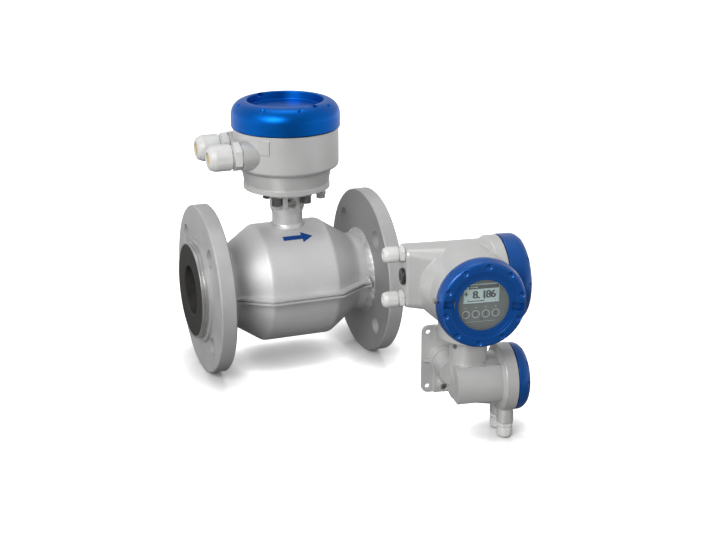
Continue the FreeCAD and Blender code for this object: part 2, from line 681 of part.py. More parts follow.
def terminal_lid():
    """Deep dished screw lid of the terminal box."""
    lid = screw_cover(LID_DIAMETER, LID_HEIGHT, LID_ROUNDING, BOX_BORE - 2 * THREAD_CLEARANCE,
                      LID_SKIRT + SEAL_THICKNESS, LID_RECESS_DIAMETER, LID_RECESS, LID_WALL)
    for tool in grips(LID_GRIPS, LID_DIAMETER, LID_HEIGHT, LID_ROUNDING, LID_GRIP_PHASE, LID_GRIP_ANGLE):
        lid = lid.cut(tool)
    dish = LID_RECESS_DIAMETER / 2
    for tool in rim_notches(dish - NOTCH_INSET, dish + LID_NOTCH_REACH, LID_HEIGHT, LID_NOTCH_ANGLE):
        lid = lid.cut(tool)
    return placed(lid, V(MIDDLE, 0, BOX_RIM_HEIGHT + SEAL_THICKNESS), Z_AXIS)


def cover_seal(diameter, bore):
    """Flat ring seal under a cover, drawn about +Z with its lower face at height 0."""
    return ring(diameter - 2 * SEAL_INSET, bore, SEAL_THICKNESS)


def gland_parts(diameter, length, seat, out):
    """Body, cap nut and plug of a cable gland that stands on seat and points along out."""
    radius = diameter / 2
    hex_length = 0.2 * length
    washer = 0.03 * length
    groove = 0.09 * length
    nut_start = washer + hex_length + groove
    body = disc(0.9 * diameter, washer).fuse(hexagon(diameter * 0.94, hex_length, V(0, 0, washer)))
    body = body.fuse(disc(0.84 * diameter, groove, V(0, 0, washer + hex_length)))
    body = body.fuse(disc(0.62 * diameter, length - nut_start - 0.3 * radius, V(0, 0, nut_start)))
    body = body.fuse(disc(0.5 * diameter, 0.3 * length, V(0, 0, -0.3 * length)))
    hole = GLAND_HOLE / GLAND_DIAMETER * diameter / 2
    nut = turned([(hole, nut_start), (radius, nut_start, 0.03 * diameter),
                  (radius, 0.8 * length, 0.6 * radius),
                  (0.8 * radius, length, 0.35 * radius), (hole, length)])
    facets = hexagon(diameter * 0.97, length - nut_start, V(0, 0, nut_start))
    nut = nut.common(facets)
    nut = nut.cut(disc(0.62 * diameter, length - nut_start - 0.3 * radius, V(0, 0, nut_start)))
    plug = disc(2 * hole, 0.3 * radius - 1.0, V(0, 0, length - 0.3 * radius))
    body = body.cut(disc(0.36 * diameter, 1.4 * length, V(0, 0, -0.4 * length)))
    return [placed(piece, seat, out) for piece in (body, nut, plug)]


def terminal_strip(base, along, up, length=STRIP_LENGTH):
    """Row of screw terminals on a moulded rail, standing on base."""
    side = up.cross(along)
    strip = block((-length / 2, -STRIP_DEPTH / 2, 0), (length / 2, STRIP_DEPTH / 2, STRIP_HEIGHT))
    mouth = 0.55 * STRIP_HEIGHT
    strip = strip.cut(block((-length / 2, STRIP_DEPTH / 6, mouth),
                            (length / 2, STRIP_DEPTH / 2, STRIP_HEIGHT)))
    poles = round(length / STRIP_PITCH)
    pitch = length / poles
    for i in range(poles):
        x = -length / 2 + pitch * (i + 0.5)
        strip = strip.cut(disc(STRIP_SCREW, STRIP_HEIGHT / 3, V(x, -STRIP_DEPTH / 6, 2 * STRIP_HEIGHT / 3)))
        strip = strip.cut(block((x - pitch / 4, STRIP_DEPTH / 3, mouth / 3),
                                (x + pitch / 4, STRIP_DEPTH, mouth)))
    matrix = FreeCAD.Matrix(along.x, side.x, up.x, base.x, along.y, side.y, up.y, base.y,
                            along.z, side.z, up.z, base.z, 0, 0, 0, 1)
    strip.Placement = FreeCAD.Placement(matrix)
    return strip


# Signal converter, in its own frame

def section(height, width, depth, corner, shift=0.0, lift=0.0):
    """Wire of eight edges across +Z: a rectangle with rounded corners, or a circle where they meet."""
    spread = 22.5 if 2 * corner >= width else 0.0
    edges = []
    points = []
    for i, (right, up) in enumerate(((1, 1), (-1, 1), (-1, -1), (1, -1))):
        centre = V(shift + right * (width / 2 - corner), lift + up * (depth / 2 - corner), height)
        for angle in (90 * i + spread, 90 * i + 45, 90 * i + 90 - spread):
            points.append(centre + V(cos(radians(angle)), sin(radians(angle)), 0) * corner)
    for i in range(4):
        start, middle, end = points[3 * i:3 * i + 3]
        following = points[(3 * i + 3) % 12]
        edges.append(Part.Arc(start, middle, end).toShape())
        if spread:
            out = V(cos(radians(90 * i + 90)), sin(radians(90 * i + 90)), 0)
            edges.append(Part.Arc(end, V(shift, lift, height) + out * corner, following).toShape())
        else:
            edges.append(Part.makeLine(end, following))
    return Part.Wire(edges)


def head_body(inset, start, end):
    """Casting that widens from the narrow upright end with the cable entries to the round collar."""
    tall, wide = HEAD_LEFT_HEIGHT - 2 * inset, HEAD_LEFT_WIDTH - 2 * inset
    centre, corner = -HEAD_HEIGHT - HEAD_LEFT_LIFT, HEAD_LEFT_CORNER
    soft = HEAD_LEFT_ROUNDING
    sections = []
    for along, shrink in ((0, soft), (0.3 * soft, 0.3 * soft), (soft, 0)):
        sections.append(section(start + along, tall - 2 * shrink, wide - 2 * shrink,
                                corner - shrink / 2, centre, HEAD_LEFT_BACKSET))
    round_end = HEAD_BODY_DIAMETER - 2 * inset
    sections.append(section(end, round_end, round_end, round_end / 2, -HEAD_HEIGHT))
    return placed(Part.makeLoft(sections, True, True), V(0, 0, 0), X_AXIS)


def display_barrel():
    """Barrel of the display, drawn out to the left where it meets the casting."""
    radius, collar = DISPLAY_BARREL_DIAMETER / 2, HEAD_COVER_DIAMETER / 2 - 0.5
    shift = (DISPLAY_BARREL_DIAMETER - DISPLAY_ROOT_WIDTH) / 2
    root = section(DISPLAY_ROOT_START, DISPLAY_ROOT_WIDTH, DISPLAY_ROOT_HEIGHT, DISPLAY_ROOT_CORNER, shift)
    mouth = section(DISPLAY_ROOT_START + DISPLAY_ROOT_LENGTH, 2 * radius, 2 * radius, radius)
    flare = placed(Part.makeLoft([root, mouth], True, True), display_axis(), -Y_AXIS)
    tube = turned([(0, 0), (radius, 0), (radius, DISPLAY_REACH - 5), (collar, DISPLAY_REACH - 3.5),
                   (collar, DISPLAY_REACH), (0, DISPLAY_REACH)], display_axis(), -Y_AXIS)
    return flare.fuse(tube)


def display_axis(y=0.0):
    return V(DISPLAY_SIDE, y, HEAD_HEIGHT)


def head_axis(y=0.0, x=0.0):
    return V(x, y, HEAD_HEIGHT)


def converter_housing():
    """Cast head: draughted body, display barrel, cover collar, inner partition and the base of its neck."""
    collar_start = HEAD_RIGHT - HEAD_COLLAR
    rim = HEAD_COVER_DIAMETER / 2 - 0.5
    collar = turned([(0, 0), (HEAD_BODY_DIAMETER / 2 - 1, 0), (rim, 4.5, 2.0),
                     (rim, HEAD_COLLAR), (0, HEAD_COLLAR)],
                    head_axis(x=collar_start), X_AXIS)
    stem = turned([(0, STEM_FLANGE_HEIGHT), (STEM_FLANGE_DIAMETER / 2, STEM_FLANGE_HEIGHT, 2.0),
                   (STEM_FLANGE_DIAMETER / 2 - 1.5, HEAD_HEIGHT), (0, HEAD_HEIGHT)], V(STEM_OFFSET, 0, 0))
    body = head_body(0, -HEAD_LEFT, HEAD_RIGHT - 1.0).fuse(collar).fuse(display_barrel()).fuse(stem)
    cavity = head_body(HEAD_WALL, HEAD_WALL - HEAD_LEFT, HEAD_RIGHT)
    partition = block((PARTITION_X, 0, 0),
                      (PARTITION_X + PARTITION_THICKNESS, HEAD_BODY_DIAMETER, 2 * HEAD_HEIGHT))
    low = HEAD_HEIGHT + PARTITION_WINDOW_RISE
    window = block((PARTITION_X, 2, low), (HEAD_RIGHT, 2 + PARTITION_WINDOW, low + PARTITION_WINDOW))
    body = body.cut(cavity.cut(partition.cut(window)))
    body = body.cut(disc(HEAD_BORE, HEAD_COLLAR, head_axis(x=collar_start), X_AXIS))
    insert_back = panel_face() - PANEL_THICKNESS - INSERT_LENGTH - SEATING_GAP
    body = body.cut(disc(HEAD_BORE, DISPLAY_REACH - insert_back, display_axis(-insert_back), -Y_AXIS))
    body = body.cut(disc(INSERT_CABLE_BORE, DISPLAY_REACH, display_axis(), -Y_AXIS))
    swept = HEAD_COVER_DIAMETER + 2 * COVER_CLEARANCE
    body = body.cut(disc(swept, HEAD_COLLAR, head_axis(x=HEAD_RIGHT), X_AXIS))
    body = body.cut(disc(STEM_BORE, HEAD_HEIGHT, V(STEM_OFFSET, 0, 0)))
    for _, place in head_glands():
        body = body.cut(disc(SMALL_GLAND_DIAMETER / 2, 2 * HEAD_WALL, place, X_AXIS))
    return body.cut(disc(0.6 * BLIND_PLUG_DIAMETER, 2 * HEAD_WALL, plug_seat(), X_AXIS))


def plug_seat():
    return V(-HEAD_LEFT, 0, HEAD_HEIGHT + HEAD_LEFT_RISE)


def head_glands():
    """Name and seat of the two cable glands in the head's left face."""
    for name, side in (("upper", 1), ("lower", -1)):
        yield name, V(-HEAD_LEFT, 0, HEAD_HEIGHT + HEAD_LEFT_RISE + side * HEAD_GLAND_SPACING / 2)


def blind_plug():
    """Threaded plug with a rounded head in the third cable entry."""
    head, length, thread = BLIND_PLUG_DIAMETER / 2, BLIND_PLUG_LENGTH, 0.3 * BLIND_PLUG_DIAMETER
    plug = turned([(0, -HEAD_WALL), (thread, -HEAD_WALL), (thread, 0), (head, 0),
                   (head, length, 1.5), (0, length)])
    slot = block((-3, -0.8, length - 1.5), (3, 0.8, length))
    return placed(plug.cut(slot), plug_seat(), V(-1, 0, 0))


def display_cover():
    """Ring-shaped screw cover that holds the window, with grip dimples and spanner notches."""
    rim, thread = HEAD_COVER_DIAMETER / 2, HEAD_BORE / 2 - THREAD_CLEARANCE
    window, step, length = WINDOW_DIAMETER / 2, WINDOW_STEP_DIAMETER / 2, DISPLAY_COVER_LENGTH
    seat, skirt, glass = glass_seat(), COVER_SKIRT + SEAL_THICKNESS, window + GLASS_LEDGE
    inside = seat - GLASS_THICKNESS - GLASS_RELIEF
    land, low, middle = step - WINDOW_LAND, length - 2 * WINDOW_STEP, length - WINDOW_STEP
    corners = [(window, seat), (window, low), (land, low), (land, middle), (step, middle),
               (step, length, 0.5),
               (rim - DISPLAY_COVER_TAPER, length, DISPLAY_COVER_ROUNDING),
               (rim, DISPLAY_COVER_SIDE, 2.0), (rim, 0, LIP_ROUNDING), (thread, 0),
               (thread, -skirt), (thread - COVER_WALL, -skirt), (thread - COVER_WALL, inside),
               (glass, inside), (glass, seat)]
    cover = turned(corners)
    lift = GRIP_DIAMETER / 2 - GRIP_DEPTH
    for _, place in around(COVER_GRIPS, rim - DISPLAY_GRIP_INSET, GRIP_PHASE):
        cover = cover.cut(Part.makeSphere(GRIP_DIAMETER / 2, place + V(0, 0, length + lift)))
    inner, outer = step - DISPLAY_NOTCH_INSET, rim - DISPLAY_NOTCH_INSET
    for tool in rim_notches(inner, outer, length, NOTCH_ANGLE):
        cover = cover.cut(tool)
    return placed(cover, display_axis(-DISPLAY_REACH - SEAL_THICKNESS), -Y_AXIS)


def glass_seat():
    """Height of the ledge in the display cover that the glass lies against."""
    return DISPLAY_COVER_LENGTH - 3 * WINDOW_STEP


def display_glass():
    """Round pane clamped behind the cover's rim."""
    start = DISPLAY_REACH + SEAL_THICKNESS + glass_seat() - GLASS_THICKNESS
    pane = WINDOW_DIAMETER + 2 * (GLASS_LEDGE - GLASS_CLEARANCE)
    return disc(pane, GLASS_THICKNESS, display_axis(-start), -Y_AXIS)


def blind_cover(diameter, length, rounding, bore, skirt):
    """Domed screw cover with a shallow round recess and grip dimples, about +Z."""
    recess = diameter / 2 - rounding - COVER_LAND
    cover = screw_cover(diameter, length, rounding, bore - 2 * THREAD_CLEARANCE, skirt + SEAL_THICKNESS,
                        2 * recess, COVER_RECESS, COVER_WALL)
    for tool in grips(COVER_GRIPS, diameter, length, rounding, GRIP_PHASE):
        cover = cover.cut(tool)
    for tool in rim_notches(recess - NOTCH_INSET, recess + COVER_NOTCH_REACH, length, NOTCH_ANGLE):
        cover = cover.cut(tool)
    return cover


def panel_face():
    """Distance of the display panel's face in front of the head's axis."""
    return DISPLAY_REACH + SEAL_THICKNESS + glass_seat() - GLASS_THICKNESS - GLASS_TO_PANEL


def panel_diameter():
    """The panel and the pot behind it clear the inside of the cover's threaded skirt."""
    return HEAD_BORE - 2 * (COVER_WALL + PANEL_CLEARANCE)


def display_panel():
    """Round front panel of the display module, with the ring mark of each optical key."""
    face = panel_face()
    panel = disc(panel_diameter(), PANEL_THICKNESS, display_axis(-face + PANEL_THICKNESS), -Y_AXIS)
    for i in range(4):
        x = DISPLAY_SIDE + (i - 1.5) * KEY_SPACING
        seat = V(x, -face, HEAD_HEIGHT - KEY_DROP)
        key = ring(KEY_DIAMETER, KEY_DIAMETER - 2 * KEY_RING, 0.4, seat, -Y_AXIS)
        panel = panel.fuse(key)
    return panel


def lcd_screen():
    """Liquid crystal display in the upper half of the panel."""
    face = panel_face()
    middle = HEAD_HEIGHT + LCD_RISE
    return block((DISPLAY_SIDE - LCD_WIDTH / 2, -face - LCD_THICKNESS, middle - LCD_HEIGHT / 2),
                 (DISPLAY_SIDE + LCD_WIDTH / 2, -face, middle + LCD_HEIGHT / 2))


def electronics_insert():
    """Moulded electronics pot behind the display panel, centred in the bore by its flange."""
    front = panel_face() - PANEL_THICKNESS
    pot = panel_diameter() / 2
    flange = HEAD_BORE / 2 - SEATING_GAP
    step = front - (DISPLAY_REACH - COVER_SKIRT) + SEATING_GAP
    corners = [(0, 0), (pot, 0), (pot, step), (flange, step), (flange, step + INSERT_FLANGE),
               (pot, step + INSERT_FLANGE), (pot, INSERT_LENGTH, 2.0), (0, INSERT_LENGTH)]
    return turned(corners, display_axis(-front), Y_AXIS)


def cover_lock():
    """Small set screw that stands out of the display cover's rim."""
    angle = radians(COVER_LOCK_ANGLE)
    out = V(cos(angle), 0, sin(angle))
    middle = display_axis(-DISPLAY_REACH - SEAL_THICKNESS - COVER_LOCK_SETBACK)
    screw = disc(COVER_LOCK_DIAMETER, HEAD_COVER_DIAMETER / 2 + COVER_LOCK_STANDOFF, middle, out)
    rim = disc(HEAD_COVER_DIAMETER, 4 * COVER_LOCK_DIAMETER,
               middle + V(0, 2 * COVER_LOCK_DIAMETER, 0), -Y_AXIS)
    return screw.cut(rim)


def cell_axis(x=0.0):
    return V(x, 0, CELL_HEIGHT)


def compartment():
    """Cast compartment: upright stem, barrel with front pad, cover collar, gland bosses and swivel boss."""
    left, right, collar = CELL_LEFT_DIAMETER / 2, CELL_DIAMETER / 2, CELL_COLLAR_DIAMETER / 2
    length = CELL_RIGHT + CELL_LEFT
    start = CELL_COLLAR_START + CELL_LEFT
    body = turned([(0, 0), (left, 0, CELL_ROUNDING), (right, start), (collar - 0.5, start + 3.0, 1.5),
                   (collar, length), (0, length)], cell_axis(-CELL_LEFT), X_AXIS)
    top = STEM_FLANGE_HEIGHT - STEM_GAP
    stem = turned([(0, CELL_HEIGHT), (STEM_DIAMETER / 2, CELL_HEIGHT), (STEM_DIAMETER / 2, top - 1),
                   (STEM_DIAMETER / 2 - 1, top), (0, top)], V(STEM_OFFSET, 0, 0))
    spigot = disc(STEM_DIAMETER - 2 * STEM_SPIGOT_STEP, STEM_GAP, V(STEM_OFFSET, 0, top))
    body = body.fuse(stem).fuse(spigot)
    pad = block((0, -right - CELL_PAD_STANDOFF, 0), (CELL_PAD_LENGTH, -CELL_PAD_ROOT, CELL_PAD_HEIGHT))
    pad.translate(V(CELL_PAD_START, 0, CELL_HEIGHT - CELL_PAD_DROP))
    pad_limit = disc(CELL_DIAMETER + 2 * CELL_PAD_STANDOFF, CELL_PAD_LENGTH,
                     cell_axis(CELL_PAD_START), X_AXIS)
    body = body.fuse(pad.common(pad_limit))
    beyond = disc(2 * collar + 2 * COVER_CLEARANCE, CELL_BOSS_DIAMETER, cell_axis(CELL_RIGHT), X_AXIS)
    for _, seat in cell_glands():
        body = body.fuse(disc(CELL_BOSS_DIAMETER, collar, seat).cut(beyond))
    swivel = V(PLATE_X, 0, PLATE_Z)
    reach = PLATE_DISTANCE - SWIVEL_THICKNESS - SWIVEL_GAP
    body = body.fuse(disc(SWIVEL_DIAMETER - 3, reach, swivel, Y_AXIS))
    body = body.fuse(disc(SWIVEL_PIN, PLATE_DISTANCE, swivel, Y_AXIS))
    deep, wall = CELL_FLOOR + CELL_LEFT, CELL_WALL
    room = [(0, deep), (left - wall + 1.5, deep), (right - wall, start), (CELL_BORE / 2, start),
            (CELL_BORE / 2, length), (0, length)]
    body = body.cut(turned(room, cell_axis(-CELL_LEFT), X_AXIS))
    body = body.cut(disc(STEM_BORE, HEAD_HEIGHT, V(STEM_OFFSET, 0, CELL_HEIGHT + STEM_BORE / 4)))
    for _, seat in cell_glands():
        body = body.cut(disc(SMALL_GLAND_DIAMETER / 2, CELL_COLLAR_DIAMETER / 2, seat))
    return body.cut(neck_screw(-1))


def cell_glands():
    """Name and seat of the two glands that point down from the compartment's collar."""
    low = CELL_HEIGHT - CELL_COLLAR_DIAMETER / 2 - CELL_BOSS_DROP
    for name, side in (("front", -1), ("rear", 1)):
        yield name, V(CELL_GLAND_X, side * CELL_GLAND_SPACING / 2, low)


def wall_plate():
    """Plate with four holes, a pressed channel, a cross rib and the socket of the swivel."""
    w, h, corner, thick = PLATE_WIDTH / 2, PLATE_HEIGHT / 2, PLATE_CORNER, PLATE_THICKNESS
    face = Part.Face(outline([(-w, -h, corner), (w, -h, corner), (w, h, corner), (-w, h, corner)]))
    channel = CHANNEL_WIDTH / 2
    plate = face.extrude(V(0, thick, 0)).fuse(block((-channel, -CHANNEL_DEPTH, -h), (channel, 0, h)))
    plate = plate.cut(block((thick - channel, thick - CHANNEL_DEPTH, -h), (channel - thick, thick, h)))
    front = V(0, -SWIVEL_THICKNESS, 0)
    plate = plate.fuse(disc(SWIVEL_DIAMETER, SWIVEL_THICKNESS + thick, front, Y_AXIS))
    corners = ((-w, 0), (-w, -CHANNEL_DEPTH), (0, 1 - SWIVEL_THICKNESS), (w, -CHANNEL_DEPTH), (w, 0), (-w, 0))
    rib = Part.Face(Part.makePolygon([V(x, y, -RIB_THICKNESS / 2) for x, y in corners]))
    plate = plate.fuse(rib.extrude(V(0, 0, RIB_THICKNESS)))
    lock = V(LOCK_BOSS_SIDE, -LOCK_BOSS_LENGTH, -LOCK_BOSS_DROP)
    plate = plate.fuse(disc(LOCK_BOSS_DIAMETER, LOCK_BOSS_LENGTH, lock, Y_AXIS))
    for x in (-PLATE_HOLE_SPACING_X / 2, PLATE_HOLE_SPACING_X / 2):
        for z in (-PLATE_HOLE_SPACING_Z / 2, PLATE_HOLE_SPACING_Z / 2):
            plate = plate.cut(disc(PLATE_HOLE, thick, V(x, 0, z), Y_AXIS))
    plate = plate.cut(disc(SWIVEL_PIN + 2 * THREAD_CLEARANCE, SWIVEL_THICKNESS + thick, front, Y_AXIS))
    plate = plate.cut(disc(LOCK_SCREW_DIAMETER, LOCK_BOSS_LENGTH, lock, Y_AXIS))
    plate.translate(V(PLATE_X, PLATE_DISTANCE, PLATE_Z))
    return plate


def lock_screw():
    """Socket screw in the plate's lock boss."""
    start = V(PLATE_X + LOCK_BOSS_SIDE, PLATE_DISTANCE - LOCK_BOSS_LENGTH + 1, PLATE_Z - LOCK_BOSS_DROP)
    screw = disc(LOCK_SCREW_DIAMETER, LOCK_BOSS_LENGTH - 1, start, Y_AXIS)
    return screw.cut(hexagon(LOCK_SCREW_DIAMETER / 2, 3.0, start, Y_AXIS))


def neck_screw(side):
    """Set screw near the top of the stem, front left and front right."""
    angle = radians(-90 + STEM_SCREW_ANGLE * side)
    out = V(cos(angle), sin(angle), 0)
    middle = V(STEM_OFFSET, 0, STEM_FLANGE_HEIGHT - STEM_GAP - STEM_SCREW_DROP)
    start = middle + out * (STEM_DIAMETER / 2 - 1.5)
    return disc(STEM_SCREW, 2.5, start, out)


def on_converter(shape):
    """Set a piece of the converter down beside the sensor."""
    shape = shape.copy()
    seat = FreeCAD.Placement(V(CONVERTER_X, CONVERTER_Y, 0), FreeCAD.Rotation(Z_AXIS, CONVERTER_TURN))
    shape.Placement = seat * shape.Placement
    return shape


# Sensor body
save("measuring_tube", measuring_tube())
save("liner", liner())
inlet_flange = flange()
inlet_ring = ground_ring()
inlet_weld = flange_weld()
save("inlet_flange", inlet_flange)
save("outlet_flange", mirrored(inlet_flange))
save("inlet_ground_ring", inlet_ring)
save("outlet_ground_ring", mirrored(inlet_ring))
save("inlet_weld", inlet_weld)
save("outlet_weld", mirrored(inlet_weld))
neck_opening = disc(NECK_DIAMETER - 2 * NECK_WALL, BARREL_DIAMETER, V(MIDDLE, 0, 0))
save("upper_half_shell", half_shell(1).cut(neck_opening))
save("lower_half_shell", half_shell(-1))

# Magnet and electrodes
upper_shoe = pole_shoe()
upper_coil = field_coil()
save("upper_pole_shoe", upper_shoe)
save("lower_pole_shoe", upper_shoe.mirror(V(0, 0, 0), Z_AXIS))
save("upper_field_coil", upper_coil)
save("lower_field_coil", upper_coil.mirror(V(0, 0, 0), Z_AXIS))
save("magnetic_yoke", yoke())
for name, side in (("front", -1), ("rear", 1)):
    save(name + "_electrode", electrode_shape(side))
    save(name + "_electrode_nut", electrode_nut(side))

# Neck and terminal box
save("neck_tube", neck_tube())
base_screw_places = around(BASE_SCREW_COUNT, BASE_SCREW_CIRCLE / 2, 180 / BASE_SCREW_COUNT)
for number, (_, place) in enumerate(base_screw_places, 1):
    save("base_screw_%d" % number, base_screw(place))
save("clamp_screw", clamp_screw())
save("earth_screw", earth_screw())
save("terminal_box", terminal_box())
save("terminal_lid", terminal_lid())
save("terminal_lid_seal", placed(cover_seal(BOX_DIAMETER, BOX_BORE), V(MIDDLE, 0, BOX_RIM_HEIGHT), Z_AXIS))
strip_reach = BOWL_DIAMETER / 2 - BOX_WALL - BOX_STRIP_SETBACK - STRIP_DEPTH / 2
strip_seat = V(MIDDLE + strip_reach, 0, BOX_BASE_HEIGHT + BOX_BASE_THICKNESS + BOX_FLOOR)
save("sensor_terminals", terminal_strip(strip_seat, Y_AXIS, Z_AXIS))
for name, seat, out in box_glands():
    body, nut, plug = gland_parts(GLAND_DIAMETER, GLAND_LENGTH, seat, out)
    save("sensor_gland_%s" % name, body)
    save("sensor_gland_%s_nut" % name, nut)
    save("sensor_gland_%s_plug" % name, plug)

# Converter head
save("converter_housing", on_converter(converter_housing()))
save("blind_plug", on_converter(blind_plug()))
save("display_cover", on_converter(display_cover()))
save("display_glass", on_converter(display_glass()))
save("display_panel", on_converter(display_panel()))
save("lcd_screen", on_converter(lcd_screen()))
save("electronics_insert", on_converter(electronics_insert()))
save("cover_lock_screw", on_converter(cover_lock()))
head_seal = cover_seal(HEAD_COVER_DIAMETER, HEAD_BORE)
save("display_seal", on_converter(placed(head_seal, display_axis(-DISPLAY_REACH), -Y_AXIS)))
supply = blind_cover(HEAD_COVER_DIAMETER, SUPPLY_COVER_LENGTH, SUPPLY_COVER_ROUNDING, HEAD_BORE, COVER_SKIRT)
save("supply_cover", on_converter(placed(supply, head_axis(x=HEAD_RIGHT + SEAL_THICKNESS), X_AXIS)))
save("supply_seal", on_converter(placed(head_seal, head_axis(x=HEAD_RIGHT), X_AXIS)))
strip_seat = V(PARTITION_X + PARTITION_THICKNESS, SUPPLY_STRIP_Y, HEAD_HEIGHT - SUPPLY_STRIP_DROP)
supply_strip = terminal_strip(strip_seat, Z_AXIS, X_AXIS, SUPPLY_STRIP_LENGTH)
save("supply_terminals", on_converter(supply_strip))
for name, seat in head_glands():
    body, nut, plug = gland_parts(SMALL_GLAND_DIAMETER, SMALL_GLAND_LENGTH, seat, V(-1, 0, 0))
    save("head_gland_%s" % name, on_converter(body.fuse(nut).fuse(plug)))

# Converter compartment and wall plate
save("compartment", on_converter(compartment()))
cell_cover = blind_cover(CELL_COVER_DIAMETER, CELL_COVER_LENGTH, CELL_COVER_ROUNDING, CELL_BORE, COVER_SKIRT)
save("compartment_cover", on_converter(placed(cell_cover, cell_axis(CELL_RIGHT + SEAL_THICKNESS), X_AXIS)))
cell_seal = placed(cover_seal(CELL_COVER_DIAMETER, CELL_BORE), cell_axis(CELL_RIGHT), X_AXIS)
save("compartment_seal", on_converter(cell_seal))
cell_strip_seat = cell_axis(CELL_FLOOR) - V(0, 0, STRIP_DEPTH / 3)
cell_strip = terminal_strip(cell_strip_seat, Y_AXIS, X_AXIS, CELL_STRIP_LENGTH)
save("compartment_terminals", on_converter(cell_strip))
for name, seat in cell_glands():
    body, nut, plug = gland_parts(SMALL_GLAND_DIAMETER, seat.z + FLANGE_DIAMETER / 2, seat, V(0, 0, -1))
    save("compartment_gland_%s" % name, on_converter(body.fuse(nut).fuse(plug)))
save("neck_screw_left", on_converter(neck_screw(-1)))
save("wall_plate", on_converter(wall_plate()))
save("lock_screw", on_converter(lock_screw()))
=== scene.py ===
import bpy
import json
from math import cos, pi, radians, sin, sqrt
from mathutils import Matrix, Vector


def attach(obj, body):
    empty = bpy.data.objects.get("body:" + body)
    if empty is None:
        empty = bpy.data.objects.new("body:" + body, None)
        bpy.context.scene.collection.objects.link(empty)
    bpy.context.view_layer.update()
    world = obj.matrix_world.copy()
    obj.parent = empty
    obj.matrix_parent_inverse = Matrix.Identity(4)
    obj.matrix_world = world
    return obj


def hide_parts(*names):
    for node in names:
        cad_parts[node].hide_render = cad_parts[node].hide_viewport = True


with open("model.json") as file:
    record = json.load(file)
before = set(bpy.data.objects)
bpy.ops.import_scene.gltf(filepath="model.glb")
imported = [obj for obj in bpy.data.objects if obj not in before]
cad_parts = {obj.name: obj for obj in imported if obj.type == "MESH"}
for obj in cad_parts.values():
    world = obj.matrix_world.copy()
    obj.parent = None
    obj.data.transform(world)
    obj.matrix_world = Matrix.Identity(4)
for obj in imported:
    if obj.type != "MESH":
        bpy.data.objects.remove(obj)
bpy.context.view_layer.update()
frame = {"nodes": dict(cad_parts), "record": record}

MM = 0.001
FLOOR_HEIGHT = -82.5 * MM

# Camera: place, directions across, up and back from the view, and focal length in 36 mm film terms
CAMERA_PLACE = (-308.918, -1282.520, 469.034)
CAMERA_ACROSS = (0.93526, -0.35397, 0.0)
CAMERA_UP = (0.11470, 0.30305, 0.94605)
CAMERA_BACK = (-0.33487, -0.88480, 0.32403)
CAMERA_LENS = 71.4

# Studio
FLOOR_SIZE = 40
FLOOR_BOUNCE = (0.12, 0.12, 0.12)
FLOOR_SEEN = (0.9, 0.9, 0.9)
FLOOR_ROUGHNESS = 0.20
FLOOR_GLOSS = 1.0
FLOOR_IOR = 1.7
FLOOR_GLOW = 0.84
OPEN_FLOOR_GLOW = 0.9
FAR_FLOOR = 1.0
OBJECT_MIDDLE = (0.12, -0.08)
CONTACT_REACH = 0.035
CONTACT_DEPTH = 6.0
WORLD_LOW = 0.80
WORLD_HIGH = 0.60
FRONT_LEVEL = 0.20
FRONT_FILL = 0.85
FRONT_WAY = (-0.33, -0.88, 0.20)

# Sensor
MIDDLE = 100.0
BARREL_RADIUS = 58.0
NECK_RADIUS = 14.9
WELD_START = 24.0
# Backs of the flanges are darkened within this reach of the middle: painted shade where the barrel shades
# them, partly also their darker unturned finish
FLANGE_BACK_REACH = 76.4
FLANGE_BACK_PAINTED_SHADE = 0.62
SEAM_END = 28.5
SHELL_NECK_RADIUS = 38.7

# Weld beads: steps round them, depth of the ripple's valleys, and grain and depth of the lumps
BEAD_STEPS = 300
BEAD_VALLEY = 0.32
BEAD_LUMPS = (5.0, 1.6)
NECK_BEAD_STEPS = 88
NECK_BEAD_VALLEY = 0.3
NECK_BEAD_LUMPS = (3.0, 0.5)
SEAM_END_LUMPS = (3.0, 1.2)
SEAM_END_STANDOFF = 2.0
SEAM_END_LEAN = 0.3

# Flow arrow on the barrel, along the flow and round the barrel from its top
ARROW_START = 86.7
ARROW_HEAD = 105.6
ARROW_TIP = 116.3
ARROW_ANGLE = 28.8
ARROW_SHAFT = 5.4
ARROW_WIDTH = 13.6
ARROW_STANDOFF = 0.12

# Converter: its own frame and the display's face
CONVERTER_PLACE = (180.5, -231.9, 0.0)
CONVERTER_TURN = -7.5
DISPLAY_SIDE = 1.0
PANEL_FACE = -55.1
HEAD_HEIGHT = 63.5
LCD_WIDTH = 30.4
LCD_HEIGHT = 16.3
LCD_RISE = 8.2
LCD_THICKNESS = 1.2
KEY_PITCH = 8.6
KEY_DROP = 10.0
KEY_RADIUS = 3.5
KEY_RING_WIDTH = 0.75
KEY_RING_THICKNESS = 0.12
KEY_FACE = 0.4

# Figures on the display: heights in mm, places down from its top edge, thickness and how bold they are
FIGURE_HEIGHT = 6.4
FIGURE_FOOT = 12.2
PRINT_THICKNESS = 0.06
PRINT_SWELL = 0.12
BOLDNESS = 0.32
CAPITAL_SHARE = 0.7
BAR_THICKNESS = 0.08


def millimetres(values):
    return Vector(values) * MM


def deselect():
    """Nothing is selected or being edited."""
    if bpy.context.object and bpy.context.object.mode != "OBJECT":
        bpy.ops.object.mode_set(mode="OBJECT")
    bpy.ops.object.select_all(action="DESELECT")


def only(piece):
    deselect()
    piece.select_set(True)
    bpy.context.view_layer.objects.active = piece
    return piece


def bake_place(piece, place=None):
    """Puts a piece's place into its mesh, so that its object sits at the origin."""
    only(piece)
    if place is not None:
        piece.matrix_world = place @ piece.matrix_world
    bpy.ops.object.transform_apply(location=True, rotation=True, scale=True)
    return piece


def fresh(name, size=(1, 1, 1)):
    """Names the primitive that was just added, gives it its size and bakes its place."""
    piece = bpy.context.object
    piece.scale = size
    piece.name = name
    piece.data.name = name
    return bake_place(piece)


